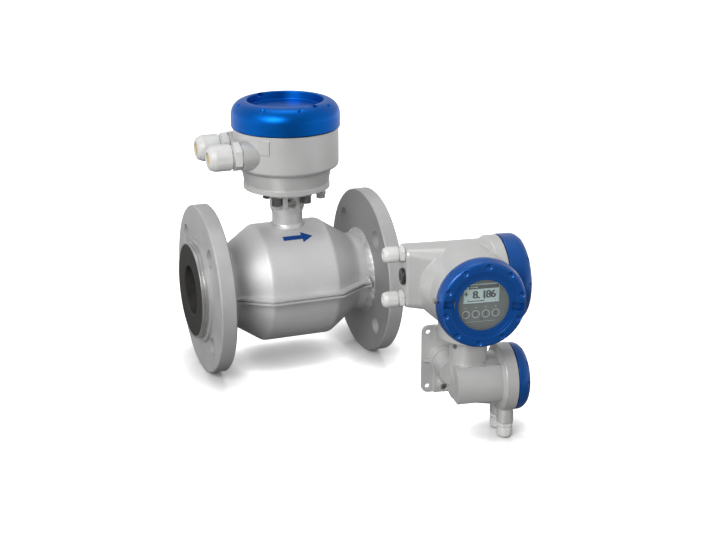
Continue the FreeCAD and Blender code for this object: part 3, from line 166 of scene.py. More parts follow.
def choose(piece, kind, test):
    """Selects a piece's vertices or faces by a test of each, ready for edit mode."""
    for part in (piece.data.vertices, piece.data.edges, piece.data.polygons):
        for element in part:
            element.select = False
    for element in getattr(piece.data, kind):
        element.select = test(element)
    bpy.context.tool_settings.mesh_select_mode = (kind == "vertices", False, kind == "polygons")
    only(piece)
    bpy.ops.object.mode_set(mode="EDIT")


def turned(name, profile, steps=96):
    """Spins a profile of (radius, height) points, in mm, about +Z."""
    deselect()
    start = profile[0]
    bpy.ops.mesh.primitive_plane_add(size=MM, location=millimetres((start[0], 0, start[1])))
    piece = fresh(name)
    bpy.ops.object.mode_set(mode="EDIT")
    bpy.ops.mesh.select_all(action="SELECT")
    bpy.ops.mesh.merge(type="CENTER")
    for here, onward in zip(profile, profile[1:]):
        move = millimetres((onward[0] - here[0], 0, onward[1] - here[1]))
        bpy.ops.mesh.extrude_vertices_move(TRANSFORM_OT_translate={"value": move})
    bpy.ops.mesh.select_all(action="SELECT")
    bpy.ops.mesh.spin(steps=steps, angle=2 * pi, center=(0, 0, 0), axis=(0, 0, 1))
    bpy.ops.mesh.select_all(action="SELECT")
    bpy.ops.mesh.remove_doubles(threshold=0.002 * MM)
    bpy.ops.mesh.normals_make_consistent(inside=False)
    bpy.ops.object.mode_set(mode="OBJECT")
    return piece


def slab(name, size, middle):
    """Block with softened edges, sizes and middle in mm."""
    deselect()
    bpy.ops.mesh.primitive_cube_add(size=1, location=millimetres(middle))
    piece = fresh(name, millimetres(size))
    bpy.ops.object.mode_set(mode="EDIT")
    bpy.ops.mesh.select_all(action="SELECT")
    bpy.ops.mesh.bevel(offset=min(size) * 0.2 * MM, segments=2)
    bpy.ops.object.mode_set(mode="OBJECT")
    return piece


def wording(name, text, height, left, low):
    """Plain bold figures standing up from the XY plane, printed three times side by side, sizes in mm."""
    copies = []
    for shift in (-BOLDNESS, 0.0, BOLDNESS):
        deselect()
        bpy.ops.object.text_add(location=(0, 0, 0))
        piece = bpy.context.object
        piece.data.body = text
        piece.data.size = height / CAPITAL_SHARE * MM
        piece.data.extrude = PRINT_THICKNESS / 2 * MM
        piece.data.offset = PRINT_SWELL * MM
        bpy.ops.object.convert(target="MESH")
        piece = bpy.context.object
        piece.location = millimetres((left + shift, low, PRINT_THICKNESS / 2))
        copies.append(bake_place(piece))
    return joined(name, copies)


def joined(name, pieces):
    """One piece made of several."""
    deselect()
    for piece in pieces:
        piece.select_set(True)
    bpy.context.view_layer.objects.active = pieces[0]
    bpy.ops.object.join()
    whole = bpy.context.object
    whole.name = name
    whole.data.name = name
    return whole


def smooth(piece, angle=35.0):
    only(piece)
    bpy.ops.object.shade_smooth_by_angle(angle=radians(angle))
    return piece


def dress(piece, material, body):
    """Gives a new piece its material and the body it rides on."""
    piece.data.materials.clear()
    piece.data.materials.append(material)
    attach(piece, body)
    return piece


# Materials

def socket(tree, name, kind, way, value=None):
    made = tree.interface.new_socket(name=name, in_out=way, socket_type=kind)
    if value is not None:
        made.default_value = value
    return made


def math_node(nodes, links, operation, first, second):
    """Result of one Math node; each of its two inputs is a socket or a number."""
    node = nodes.new("ShaderNodeMath")
    node.operation = operation
    for number, given in enumerate((first, second)):
        if isinstance(given, (int, float)):
            node.inputs[number].default_value = given
        else:
            links.new(given, node.inputs[number])
    return node.outputs[0]


def graded(nodes, links, value, start, end, low, high):
    """Result of one Map Range node, smooth between low and high."""
    node = nodes.new("ShaderNodeMapRange")
    node.interpolation_type = "SMOOTHSTEP"
    for name, number in (("From Min", start), ("From Max", end), ("To Min", low), ("To Max", high)):
        node.inputs[name].default_value = number
    links.new(value, node.inputs["Value"])
    return node.outputs["Result"]


def grain_group():
    """Fine grain over broad cloudiness: a colour between two tones, a roughness and a height for bump."""
    tree = bpy.data.node_groups.new("surface_grain", "ShaderNodeTree")
    socket(tree, "Tone", "NodeSocketColor", "INPUT", (0.5, 0.5, 0.5, 1))
    socket(tree, "Shade", "NodeSocketColor", "INPUT", (0.4, 0.4, 0.4, 1))
    socket(tree, "Grain", "NodeSocketFloat", "INPUT", 1200.0)
    socket(tree, "Cloud", "NodeSocketFloat", "INPUT", 40.0)
    socket(tree, "Smoothest", "NodeSocketFloat", "INPUT", 0.35)
    socket(tree, "Roughest", "NodeSocketFloat", "INPUT", 0.5)
    socket(tree, "Color", "NodeSocketColor", "OUTPUT")
    socket(tree, "Roughness", "NodeSocketFloat", "OUTPUT")
    socket(tree, "Height", "NodeSocketFloat", "OUTPUT")
    nodes, links = tree.nodes, tree.links
    given = nodes.new("NodeGroupInput")
    out = nodes.new("NodeGroupOutput")
    place = nodes.new("ShaderNodeTexCoord")
    fine = nodes.new("ShaderNodeTexNoise")
    fine.inputs["Detail"].default_value = 3.0
    broad = nodes.new("ShaderNodeTexNoise")
    broad.inputs["Detail"].default_value = 4.0
    for noise, size in ((fine, "Grain"), (broad, "Cloud")):
        links.new(place.outputs["Object"], noise.inputs["Vector"])
        links.new(given.outputs[size], noise.inputs["Scale"])
    speckle = math_node(nodes, links, "MULTIPLY", fine.outputs["Fac"], broad.outputs["Fac"])
    spread = nodes.new("ShaderNodeMapRange")
    spread.inputs["From Min"].default_value = 0.12
    spread.inputs["From Max"].default_value = 0.42
    links.new(speckle, spread.inputs["Value"])
    mix = nodes.new("ShaderNodeMix")
    mix.data_type = "RGBA"
    links.new(spread.outputs["Result"], mix.inputs["Factor"])
    links.new(given.outputs["Shade"], mix.inputs["A"])
    links.new(given.outputs["Tone"], mix.inputs["B"])
    rough = nodes.new("ShaderNodeMapRange")
    rough.inputs["From Min"].default_value = 0.3
    rough.inputs["From Max"].default_value = 0.7
    links.new(broad.outputs["Fac"], rough.inputs["Value"])
    links.new(given.outputs["Smoothest"], rough.inputs["To Min"])
    links.new(given.outputs["Roughest"], rough.inputs["To Max"])
    links.new(mix.outputs["Result"], out.inputs["Color"])
    links.new(rough.outputs["Result"], out.inputs["Roughness"])
    links.new(fine.outputs["Fac"], out.inputs["Height"])
    return tree


def turning_group():
    """Rings that a lathe tool leaves on faces turned about the X axis, as a height."""
    tree = bpy.data.node_groups.new("turning_marks", "ShaderNodeTree")
    socket(tree, "Rings", "NodeSocketFloat", "INPUT", 1400.0)
    socket(tree, "Height", "NodeSocketFloat", "OUTPUT")
    nodes, links = tree.nodes, tree.links
    given = nodes.new("NodeGroupInput")
    out = nodes.new("NodeGroupOutput")
    place = nodes.new("ShaderNodeTexCoord")
    wave = nodes.new("ShaderNodeTexWave")
    wave.wave_type = "RINGS"
    wave.rings_direction = "X"
    wave.inputs["Distortion"].default_value = 0.6
    wave.inputs["Detail"].default_value = 2.0
    links.new(place.outputs["Object"], wave.inputs["Vector"])
    links.new(given.outputs["Rings"], wave.inputs["Scale"])
    links.new(wave.outputs["Fac"], out.inputs["Height"])
    return tree


GRAIN = grain_group()
TURNING = turning_group()


def finish(name, tone, shade, smoothest, roughest, metal=0.0, grain=1200.0, cloud=40.0, bump=0.1,
           edge=0.35, coat=0.0, coat_roughness=0.1, rings=0.0, level=0.5):
    """Material of one finish: grain, softened edges, gloss and, where rings is given, turning marks."""
    material = bpy.data.materials.new(name)
    material.use_nodes = True
    nodes, links = material.node_tree.nodes, material.node_tree.links
    shader = nodes["Principled BSDF"]
    surface = nodes.new("ShaderNodeGroup")
    surface.node_tree = GRAIN
    surface.inputs["Tone"].default_value = (*tone, 1)
    surface.inputs["Shade"].default_value = (*shade, 1)
    surface.inputs["Grain"].default_value = grain
    surface.inputs["Cloud"].default_value = cloud
    surface.inputs["Smoothest"].default_value = smoothest
    surface.inputs["Roughest"].default_value = roughest
    links.new(surface.outputs["Color"], shader.inputs["Base Color"])
    links.new(surface.outputs["Roughness"], shader.inputs["Roughness"])
    relief = nodes.new("ShaderNodeBump")
    relief.inputs["Strength"].default_value = bump
    relief.inputs["Distance"].default_value = 0.1 * MM
    links.new(surface.outputs["Height"], relief.inputs["Height"])
    normal = None
    if edge:
        corner = nodes.new("ShaderNodeBevel")
        corner.samples = 6
        corner.inputs["Radius"].default_value = edge * MM
        normal = corner.outputs["Normal"]
    if rings:
        marks = nodes.new("ShaderNodeGroup")
        marks.node_tree = TURNING
        marks.inputs["Rings"].default_value = rings
        grooves = nodes.new("ShaderNodeBump")
        grooves.inputs["Strength"].default_value = 0.25
        grooves.inputs["Distance"].default_value = 0.05 * MM
        links.new(marks.outputs["Height"], grooves.inputs["Height"])
        if normal is not None:
            links.new(normal, grooves.inputs["Normal"])
        normal = grooves.outputs["Normal"]
    if normal is not None:
        links.new(normal, relief.inputs["Normal"])
    links.new(relief.outputs["Normal"], shader.inputs["Normal"])
    shader.inputs["Metallic"].default_value = metal
    shader.inputs["Coat Weight"].default_value = coat
    shader.inputs["Coat Roughness"].default_value = coat_roughness
    shader.inputs["Specular IOR Level"].default_value = level
    return material


def paint_shade_between(material, middle, reach, darkness, blend=0.2):
    """Tones a finish down within reach of a place along X, in mm: painted shade on the backs of the flanges,
    which lie in the barrel's shade, and partly the darker finish of their unturned faces.
    """
    nodes, links = material.node_tree.nodes, material.node_tree.links
    shader = nodes["Principled BSDF"]
    colour = shader.inputs["Base Color"].links[0].from_socket
    place = nodes.new("ShaderNodeTexCoord")
    parts = nodes.new("ShaderNodeSeparateXYZ")
    links.new(place.outputs["Object"], parts.inputs["Vector"])
    off = math_node(nodes, links, "SUBTRACT", parts.outputs["X"], middle * MM)
    off = math_node(nodes, links, "ABSOLUTE", off, 0.0)
    level = graded(nodes, links, off, (reach - blend) * MM, (reach + blend) * MM, darkness, 1.0)
    toned = nodes.new("ShaderNodeVectorMath")
    toned.operation = "SCALE"
    links.new(colour, toned.inputs[0])
    links.new(level, toned.inputs["Scale"])
    links.new(toned.outputs["Vector"], shader.inputs["Base Color"])


def window_glass():
    """Flat pane that is clear from the front and veils what is behind it more at a slant: its pale colour,
    shown more at a slant, is a painted reflection.
    """
    material = bpy.data.materials.new("window_pane")
    material.use_nodes = True
    nodes, links = material.node_tree.nodes, material.node_tree.links
    shader = nodes["Principled BSDF"]
    # Pale colour of the pane: painted reflection, shown more at a slant through the alpha below
    shader.inputs["Base Color"].default_value = (0.75, 0.80, 0.80, 1)
    shader.inputs["Roughness"].default_value = 0.04
    slant = nodes.new("ShaderNodeLayerWeight")
    slant.inputs["Blend"].default_value = 0.35
    cover = nodes.new("ShaderNodeMapRange")
    cover.inputs["To Min"].default_value = 0.05
    cover.inputs["To Max"].default_value = 0.6
    links.new(slant.outputs["Fresnel"], cover.inputs["Value"])
    links.new(cover.outputs["Result"], shader.inputs["Alpha"])
    return material


blasted_steel = finish("blasted_steel", (0.68, 0.68, 0.68), (0.57, 0.57, 0.57), 0.44, 0.54, metal=0.5,
                       grain=1500, cloud=22, bump=0.22)
flange_steel = finish("flange_steel", (0.50, 0.50, 0.50), (0.40, 0.40, 0.40), 0.42, 0.54, metal=0.4,
                      grain=1800, cloud=30, bump=0.15, rings=900, edge=0.5)
# Painted shade on the backs of the flanges, where the barrel shades them; partly also their darker unturned
# finish
paint_shade_between(flange_steel, MIDDLE, FLANGE_BACK_REACH, FLANGE_BACK_PAINTED_SHADE)
ring_steel = finish("ring_steel", (0.60, 0.60, 0.60), (0.48, 0.48, 0.48), 0.32, 0.42, metal=0.95,
                    grain=2200, cloud=30, bump=0.08, rings=1300)
weld_steel = finish("weld_steel", (0.62, 0.62, 0.61), (0.40, 0.40, 0.395), 0.42, 0.56, metal=0.6,
                    grain=900, cloud=160, bump=0.3, edge=0)
tube_steel = finish("tube_steel", (0.55, 0.55, 0.55), (0.45, 0.45, 0.45), 0.30, 0.42, metal=1.0)
dark_screw = finish("dark_screw", (0.36, 0.36, 0.36), (0.20, 0.20, 0.20), 0.30, 0.45, metal=1.0,
                    grain=2500, cloud=120, edge=0.2)
bright_screw = finish("bright_screw", (0.66, 0.65, 0.62), (0.50, 0.49, 0.47), 0.26, 0.40, metal=1.0,
                      grain=2500, cloud=120, edge=0.2)
magnet_iron = finish("magnet_iron", (0.20, 0.20, 0.21), (0.12, 0.12, 0.12), 0.45, 0.60, metal=0.8)
copper_winding = finish("copper_winding", (0.60, 0.27, 0.12), (0.42, 0.18, 0.08), 0.32, 0.45, metal=1.0)
electrode_alloy = finish("electrode_alloy", (0.60, 0.58, 0.55), (0.50, 0.48, 0.46), 0.18, 0.28, metal=1.0)
liner_rubber = finish("liner_rubber", (0.040, 0.039, 0.036), (0.022, 0.021, 0.019), 0.55, 0.70,
                      grain=1400, cloud=60, bump=0.12, level=0.2)
grey_paint = finish("grey_paint", (0.54, 0.54, 0.535), (0.49, 0.49, 0.485), 0.34, 0.44, metal=0.4,
                    grain=1500, cloud=45, bump=0.16, edge=0.6, coat=0.15, coat_roughness=0.25)
lid_blue = finish("lid_blue", (0.001, 0.120, 0.50), (0.001, 0.102, 0.44), 0.36, 0.44, metal=0.9,
                  grain=1600, cloud=50, bump=0.05, edge=0.6, level=0.2)
cover_blue = finish("cover_blue", (0.002, 0.078, 0.33), (0.002, 0.066, 0.29), 0.34, 0.42, metal=0.5,
                    grain=1600, cloud=50, bump=0.04, edge=0.5, coat=0.32, coat_roughness=0.05, level=0.25)
seal_rubber = finish("seal_rubber", (0.02, 0.02, 0.02), (0.012, 0.012, 0.012), 0.55, 0.65)
gland_plastic = finish("gland_plastic", (0.60, 0.60, 0.59), (0.52, 0.52, 0.51), 0.34, 0.44,
                       grain=1800, cloud=90, bump=0.06, edge=0.5)
yellow_plug = finish("yellow_plug", (0.55, 0.42, 0.13), (0.46, 0.35, 0.10), 0.30, 0.42, edge=0.3)
black_plug = finish("black_plug", (0.025, 0.025, 0.027), (0.015, 0.015, 0.016), 0.25, 0.40, edge=0.3)
panel_plastic = finish("panel_plastic", (0.120, 0.145, 0.130), (0.100, 0.120, 0.110), 0.45, 0.55,
                       grain=2500, cloud=60, bump=0.05)
lcd_face = finish("lcd_face", (0.60, 0.78, 0.76), (0.55, 0.72, 0.70), 0.20, 0.28, cloud=80, bump=0.01, edge=0)
lcd_ink = finish("lcd_ink", (0.010, 0.018, 0.022), (0.007, 0.012, 0.016), 0.35, 0.45, edge=0, bump=0.02)
panel_print = finish("panel_print", (0.52, 0.57, 0.56), (0.46, 0.50, 0.49), 0.45, 0.55, edge=0, bump=0.02)
insert_plastic = finish("insert_plastic", (0.05, 0.05, 0.055), (0.035, 0.035, 0.04), 0.45, 0.6)
terminal_green = finish("terminal_green", (0.10, 0.26, 0.12), (0.08, 0.20, 0.09), 0.35, 0.5)
arrow_blue = finish("arrow_blue", (0.004, 0.045, 0.21), (0.003, 0.038, 0.18), 0.45, 0.55, edge=0, bump=0.08,
                    level=0.2)

slot_finish = {
    "blasted_steel": blasted_steel, "steel_casting": flange_steel, "ring_steel": ring_steel,
    "weld_steel": weld_steel, "screw_steel": dark_screw, "bright_screw": bright_screw,
    "tube_steel": tube_steel, "magnet_iron": magnet_iron, "coil_copper": copper_winding,
    "electrode_alloy": electrode_alloy,
    "liner_rubber": liner_rubber, "grey_paint": grey_paint, "blue_lid_paint": lid_blue,
    "blue_cover_paint": cover_blue, "seal_rubber": seal_rubber, "gland_plastic": gland_plastic,
    "plug_yellow": yellow_plug, "plug_black": black_plug, "window_glass": window_glass(),
    "panel_plastic": panel_plastic, "lcd_plastic": lcd_face, "insert_plastic": insert_plastic,
    "terminal_plastic": terminal_green,
}
for entry in frame["record"]["subparts"]:
    node = frame["nodes"][entry["node"]]
    for material_slot in node.material_slots:
        material_slot.material = slot_finish[entry["material_slot"]]


# Weld beads of the sensor

def roughen(piece, grain, depth):
    """Uneven surface of a hand-laid weld, sizes in mm."""
    lumps = bpy.data.textures.new("weld_lumps", "CLOUDS")
    lumps.noise_scale = grain * MM
    only(piece)
    uneven = piece.modifiers.new("uneven", "DISPLACE")
    uneven.texture = lumps
    uneven.texture_coords = "LOCAL"
    uneven.mid_level = 0.5
    uneven.strength = depth * MM
    bpy.ops.object.modifier_apply(modifier=uneven.name)


def ripple(bead, steps, depth, on_crest):
    """Sinks every other step of a turned bead, where on_crest says that a vertex lies on its outside."""

    def valley(vertex):
        step = round(Vector((1, 0)).angle_signed(vertex.co.xy, 0.0) / (2 * pi) * steps)
        return step % 2 == 0 and on_crest(vertex)

    choose(bead, "vertices", valley)
    bpy.ops.transform.shrink_fatten(value=-depth * MM)
    bpy.ops.object.mode_set(mode="OBJECT")


def weld_bead(name, turn, shift, node):
    """Rippled fillet weld between a flange and the shells, about the flow axis."""
    corner, start = SHELL_NECK_RADIUS, WELD_START
    profile = [(corner, start), (corner, start + 4.8), (corner + 1.5, start + 3.9),
               (corner + 2.9, start + 2.7), (corner + 4.0, start + 1.4), (corner + 4.7, start),
               (corner, start)]
    bead = turned(name, profile, BEAD_STEPS)
    crest = {2, 3, 4}
    rings = len(profile) - 1
    reach = [Vector((radius * MM, height * MM)) for radius, height in profile[:rings]]

    def on_crest(vertex):
        flat = Vector((vertex.co.xy.length, vertex.co.z))
        return min(range(rings), key=lambda i: (reach[i] - flat).length) in crest

    ripple(bead, BEAD_STEPS, BEAD_VALLEY, on_crest)
    bake_place(bead, Matrix.Translation(millimetres((shift, 0, 0))) @ Matrix.Rotation(turn, 4, "Y"))
    roughen(bead, *BEAD_LUMPS)
    smooth(bead, 60)
    dress(bead, weld_steel, "meter")
    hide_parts(node)


weld_bead("inlet_weld_bead", pi / 2, 0.0, "inlet_weld")
weld_bead("outlet_weld_bead", -pi / 2, 2 * MIDDLE, "outlet_weld")


def seam_end_welds():
    """Lumps of weld that close both ends of the standing seams, front and rear."""
    lumps = []
    reach = SHELL_NECK_RADIUS + SEAM_END_STANDOFF
    for along in (SEAM_END, 2 * MIDDLE - SEAM_END):
        for side in (-1, 1):
            for drop, size in ((-2.2, 3.2), (0.6, 3.6), (3.0, 2.8)):
                deselect()
                place = millimetres((along - 0.4 * drop, side * reach, drop))
                bpy.ops.mesh.primitive_uv_sphere_add(segments=24, ring_count=14, radius=MM, location=place)
                lump = fresh("seam_end_lump", (0.8 * size, 1.5 * size, size))
                bpy.ops.object.mode_set(mode="EDIT")
                bpy.ops.mesh.select_all(action="SELECT")
                bpy.ops.transform.rotate(value=SEAM_END_LEAN * side, orient_axis="X", center_override=place)
                bpy.ops.object.mode_set(mode="OBJECT")
                lumps.append(lump)
    welds = joined("seam_end_welds", lumps)
    roughen(welds, *SEAM_END_LUMPS)
    smooth(welds, 60)
    dress(welds, weld_steel, "meter")


seam_end_welds()


def neck_bead():
    """Rippled weld round the neck's foot, which follows the round top of the barrel."""
    ring, top = NECK_RADIUS, BARREL_RADIUS
    profile = [(ring - 0.3, top - 1.0), (ring - 0.3, top + 1.9), (ring + 0.7, top + 1.7),
               (ring + 1.6, top + 1.2), (ring + 2.1, top + 0.4), (ring + 2.2, top - 1.0),
               (ring - 0.3, top - 1.0)]
    bead = turned("neck_weld_bead", profile, NECK_BEAD_STEPS)

    def on_crest(vertex):
        return vertex.co.z > (top - 0.5) * MM and vertex.co.xy.length > ring * MM

    ripple(bead, NECK_BEAD_STEPS, NECK_BEAD_VALLEY, on_crest)
    for vertex in bead.data.vertices:
        vertex.co.z += sqrt((BARREL_RADIUS * MM) ** 2 - vertex.co.y ** 2) - BARREL_RADIUS * MM
    bake_place(bead, Matrix.Translation(millimetres((MIDDLE, 0, 0))))
    roughen(bead, *NECK_BEAD_LUMPS)
    smooth(bead, 60)
    dress(bead, weld_steel, "meter")


neck_bead()


# Flow arrow

def flow_arrow():
    """Printed arrow that wraps round the barrel."""
    deselect()
    length = ARROW_HEAD - ARROW_START
    middle = (ARROW_START + ARROW_HEAD) / 2
    bpy.ops.mesh.primitive_plane_add(size=1, location=millimetres((middle, 0, 0)))
    arrow = fresh("flow_arrow", (length * MM, ARROW_SHAFT * MM, 1))
    front = max(vertex.co.x for vertex in arrow.data.vertices)
    choose(arrow, "vertices", lambda vertex: vertex.co.x > front - 0.01 * MM)
    bpy.ops.mesh.extrude_edges_move(TRANSFORM_OT_translate={"value": (0.01 * MM, 0, 0)})
    bpy.ops.transform.resize(value=(1, ARROW_WIDTH / ARROW_SHAFT, 1))
    bpy.ops.mesh.extrude_edges_move(TRANSFORM_OT_translate={"value": ((ARROW_TIP - ARROW_HEAD) * MM, 0, 0)})
    bpy.ops.transform.resize(value=(1, 0.02, 1))
    bpy.ops.mesh.select_all(action="SELECT")
    bpy.ops.mesh.subdivide(number_cuts=11)
    bpy.ops.object.mode_set(mode="OBJECT")
    radius = (BARREL_RADIUS + ARROW_STANDOFF) * MM
    for vertex in arrow.data.vertices:
        angle = radians(ARROW_ANGLE) - vertex.co.y / radius
        vertex.co.y, vertex.co.z = -radius * sin(angle), radius * cos(angle)
    only(arrow)
    thick = arrow.modifiers.new("thickness", "SOLIDIFY")
    thick.thickness = ARROW_STANDOFF * MM
    thick.offset = -1
    bpy.ops.object.modifier_apply(modifier=thick.name)
    smooth(arrow, 40)
    dress(arrow, arrow_blue, "meter")


flow_arrow()


# Display

CONVERTER = (Matrix.Translation(millimetres(CONVERTER_PLACE))
             @ Matrix.Rotation(radians(CONVERTER_TURN), 4, "Z"))


def panel_place(rise):
    """Matrix from the panel's own plane, X to the right and Y up, to its place behind the window."""
    seat = millimetres((DISPLAY_SIDE, PANEL_FACE - rise, HEAD_HEIGHT))
    return CONVERTER @ Matrix.Translation(seat) @ Matrix.Rotation(pi / 2, 4, "X")


def lcd_content():
    """Figures, sign, heading bar and bar graph on the liquid crystal display."""
    left, top = -LCD_WIDTH / 2, LCD_RISE + LCD_HEIGHT / 2

    def bar(name, start, high, width, height):
        middle = (left + start + width / 2, top - high - height / 2, 0.0)
        return slab(name, (width, height, BAR_THICKNESS), middle)

    pieces = [
        bar("heading_bar", 4.0, 0.7, 26.0, 3.5),
        bar("heading_foot", 0.8, 3.7, 2.4, 0.4),
        bar("heading_mast", 1.8, 1.6, 0.5, 2.2),
        bar("graph_bar", 3.4, 14.2, 14.4, 0.75),
        bar("graph_start", 3.4, 13.2, 0.4, 1.0),
        bar("graph_mark", 17.4, 12.4, 0.9, 0.9),
        bar("graph_end", 27.2, 13.8, 0.3, 0.8),
        bar("unit_upper", 28.0, 6.3, 0.7, 0.9),
        bar("unit_lower", 28.0, 8.4, 0.7, 0.9),
    ]
    figures = [("+", 0.3, 10.4, 4.2)]
    for text, start in (("8", 7.6), (".", 11.9), ("1", 15.3), ("8", 18.9), ("6", 23.0)):
        figures.append((text, start, FIGURE_FOOT, FIGURE_HEIGHT))
    for number, (text, start, low, height) in enumerate(figures):
        pieces.append(wording("figure_%d" % number, text, height, left + start, top - low))
    content = joined("lcd_content", pieces)
    bake_place(content, panel_place(LCD_THICKNESS + 0.02))
    dress(content, lcd_ink, "meter")
    marks = []
    for number in range(4):
        middle = (left + 6.0 + 1.7 * number, top - 2.5, 0.0)
        marks.append(slab("heading_text_%d" % number, (1.1, 0.9, BAR_THICKNESS), middle))
    heading = joined("lcd_heading", marks)
    bake_place(heading, panel_place(LCD_THICKNESS + 0.07))
    dress(heading, lcd_face, "meter")


def key_marks():
    """Printed ring of each optical key, its two eyes and the small sign above it."""
    rings, eyes = [], []
    inner, rise = KEY_RADIUS - KEY_RING_WIDTH, KEY_RING_THICKNESS
    section = [(inner, 0), (KEY_RADIUS, 0), (KEY_RADIUS, rise), (inner, rise), (inner, 0)]
    for number in range(4):
        middle = (number - 1.5) * KEY_PITCH
        ring = turned("key_ring_%d" % number, section, 48)
        rings.append(bake_place(ring, Matrix.Translation(millimetres((middle, -KEY_DROP, KEY_FACE)))))
        rings.append(slab("key_sign_%d" % number, (1.3, 0.5, 0.1), (middle - 0.2, -KEY_DROP + 5.6, 0.02)))
        rings.append(slab("key_sign_top_%d" % number, (0.5, 1.2, 0.1), (middle + 0.3, -KEY_DROP + 5.6, 0.02)))
        for lift in (-1.0, 1.0):
            eye = turned("key_eye", [(0, 0), (0.8, 0), (0.8, 0.25), (0.5, 0.4), (0, 0.45)], 24)
            eyes.append(bake_place(eye, Matrix.Translation(millimetres((middle, lift - KEY_DROP, 0)))))
    port = turned("optical_port", [(0, 0), (1.1, 0), (1.1, 0.25), (0.8, 0.4), (0, 0.45)], 32)
    eyes.append(bake_place(port, Matrix.Translation(millimetres((1.0, -KEY_DROP - 4.6, 0)))))
    rings.append(slab("foot_line", (26, 0.25, BAR_THICKNESS), (0, -KEY_DROP - 6.8, 0.02)))
    rings = joined("key_rings", rings)
    bake_place(rings, panel_place(0.0))
    dress(rings, panel_print, "meter")
    eyes = joined("key_eyes", eyes)
    bake_place(eyes, panel_place(0.0))
    dress(eyes, black_plug, "meter")


lcd_content()
key_marks()


# Floor, world, lamps and camera

def dark_front(nodes, links, direction):
    """1 all round the object, less in front of it, for a direction seen from there."""
    facing = nodes.new("ShaderNodeVectorMath")
    facing.operation = "DOT_PRODUCT"
    facing.inputs[1].default_value = FRONT_WAY
    links.new(direction, facing.inputs[0])
    return graded(nodes, links, facing.outputs["Value"], 0.45, 0.95, 1.0, FRONT_LEVEL)


def studio_floor():
    """Pale floor: white to the camera apart from shadows and soft reflections, greyer to the object."""
    deselect()
    bpy.ops.mesh.primitive_plane_add(size=FLOOR_SIZE, location=(0, 0, FLOOR_HEIGHT))
    floor = fresh("studio_floor")
    material = bpy.data.materials.new("studio_floor")
    material.use_nodes = True
    nodes, links = material.node_tree.nodes, material.node_tree.links
    shader = nodes["Principled BSDF"]
    shader.inputs["Roughness"].default_value = FLOOR_ROUGHNESS
    shader.inputs["Specular IOR Level"].default_value = FLOOR_GLOSS
    shader.inputs["IOR"].default_value = FLOOR_IOR
    shader.inputs["Emission Color"].default_value = (1, 1, 1, 1)
    path = nodes.new("ShaderNodeLightPath")
    colour = nodes.new("ShaderNodeMix")
    colour.data_type = "RGBA"
    colour.inputs["A"].default_value = (*FLOOR_BOUNCE, 1)
    colour.inputs["B"].default_value = (*FLOOR_SEEN, 1)
    links.new(path.outputs["Is Camera Ray"], colour.inputs["Factor"])
    links.new(colour.outputs["Result"], shader.inputs["Base Color"])
    place = nodes.new("ShaderNodeTexCoord")
    away = nodes.new("ShaderNodeVectorMath")
    away.operation = "SUBTRACT"
    away.inputs[1].default_value = (*OBJECT_MIDDLE, FLOOR_HEIGHT)
    links.new(place.outputs["Object"], away.inputs[0])
    distance = nodes.new("ShaderNodeVectorMath")
    distance.operation = "LENGTH"
    links.new(away.outputs["Vector"], distance.inputs[0])
    direction = nodes.new("ShaderNodeVectorMath")
    direction.operation = "NORMALIZE"
    links.new(away.outputs["Vector"], direction.inputs[0])
    contact = nodes.new("ShaderNodeAmbientOcclusion")
    contact.samples = 8
    contact.inputs["Distance"].default_value = CONTACT_REACH
    near = graded(nodes, links, distance.outputs["Value"], 0.2, 1.2, FLOOR_GLOW, OPEN_FLOOR_GLOW)
    open_air = math_node(nodes, links, "POWER", contact.outputs["AO"], CONTACT_DEPTH)
    near = math_node(nodes, links, "MULTIPLY", near, open_air)
    near = math_node(nodes, links, "MULTIPLY", near, path.outputs["Is Camera Ray"])
    far = graded(nodes, links, distance.outputs["Value"], 0.35, 1.6, 0.0, FAR_FLOOR)
    far = math_node(nodes, links, "MULTIPLY", far, dark_front(nodes, links, direction.outputs["Vector"]))
    far = math_node(nodes, links, "MULTIPLY", far, path.outputs["Is Glossy Ray"])
    links.new(math_node(nodes, links, "ADD", near, far), shader.inputs["Emission Strength"])
    floor.data.materials.append(material)


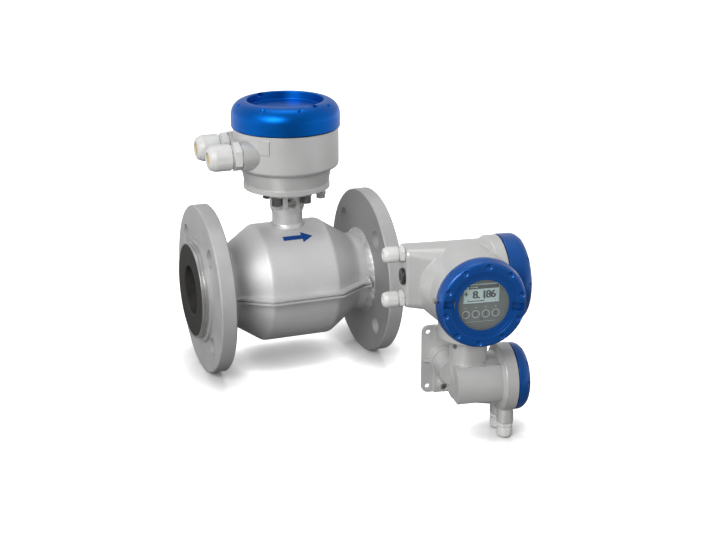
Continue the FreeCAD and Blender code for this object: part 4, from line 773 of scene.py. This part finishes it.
def studio_world():
    """White to the camera; round the object a studio that is bright but for its front."""
    world = bpy.data.worlds.new("studio")
    bpy.context.scene.world = world
    world.use_nodes = True
    nodes, links = world.node_tree.nodes, world.node_tree.links
    background = nodes["Background"]
    background.inputs["Color"].default_value = (1, 1, 1, 1)
    way = nodes.new("ShaderNodeTexCoord")
    parts = nodes.new("ShaderNodeSeparateXYZ")
    links.new(way.outputs["Generated"], parts.inputs["Vector"])
    level = graded(nodes, links, parts.outputs["Z"], 0.0, 0.9, WORLD_LOW, WORLD_HIGH)
    path = nodes.new("ShaderNodeLightPath")
    front = dark_front(nodes, links, way.outputs["Generated"])
    matte = math_node(nodes, links, "MULTIPLY", path.outputs["Is Diffuse Ray"], FRONT_FILL)
    front = math_node(nodes, links, "MAXIMUM", front, matte)
    level = math_node(nodes, links, "MULTIPLY", level, front)
    level = math_node(nodes, links, "MAXIMUM", level, path.outputs["Is Camera Ray"])
    level = math_node(nodes, links, "MAXIMUM", level, path.outputs["Is Transmission Ray"])
    links.new(level, background.inputs["Strength"])


def lamp(name, place, target, size, power, mirrored=True):
    """Area lamp that shines on the target and, where mirrored, shows in gloss."""
    light = bpy.data.lights.new(name, "AREA")
    light.shape = "RECTANGLE"
    light.size, light.size_y = size
    light.energy = power
    holder = bpy.data.objects.new(name, light)
    bpy.context.scene.collection.objects.link(holder)
    holder.location = place
    holder.rotation_euler = (Vector(target) - Vector(place)).to_track_quat("-Z", "Y").to_euler()
    holder.visible_glossy = mirrored


def camera():
    lens = bpy.data.cameras.new("photo_view")
    lens.sensor_width = 36.0
    lens.lens = CAMERA_LENS
    lens.clip_start = 0.05
    lens.clip_end = 60.0
    holder = bpy.data.objects.new("photo_view", lens)
    bpy.context.scene.collection.objects.link(holder)
    axes = Matrix((CAMERA_ACROSS, CAMERA_UP, CAMERA_BACK)).transposed()
    holder.matrix_world = Matrix.Translation(millimetres(CAMERA_PLACE)) @ axes.to_4x4()
    bpy.context.scene.camera = holder


studio_floor()
studio_world()
lamp("key", place=(-1.3, -1.4, 1.3), target=(0.1, 0, 0.05), size=(1.1, 0.9), power=34)
lamp("top", place=(0.2, 0.3, 1.8), target=(0.1, -0.1, 0), size=(0.9, 0.9), power=5)
lamp("low", place=(-1.2, -1.3, 0.05), target=(0.1, 0, 0), size=(1.0, 0.4), power=11, mirrored=False)
lamp("side", place=(1.6, -1.0, 0.9), target=(0.12, 0, 0.1), size=(0.6, 1.2), power=4, mirrored=False)
camera()
bpy.context.scene.view_settings.view_transform = "Standard"
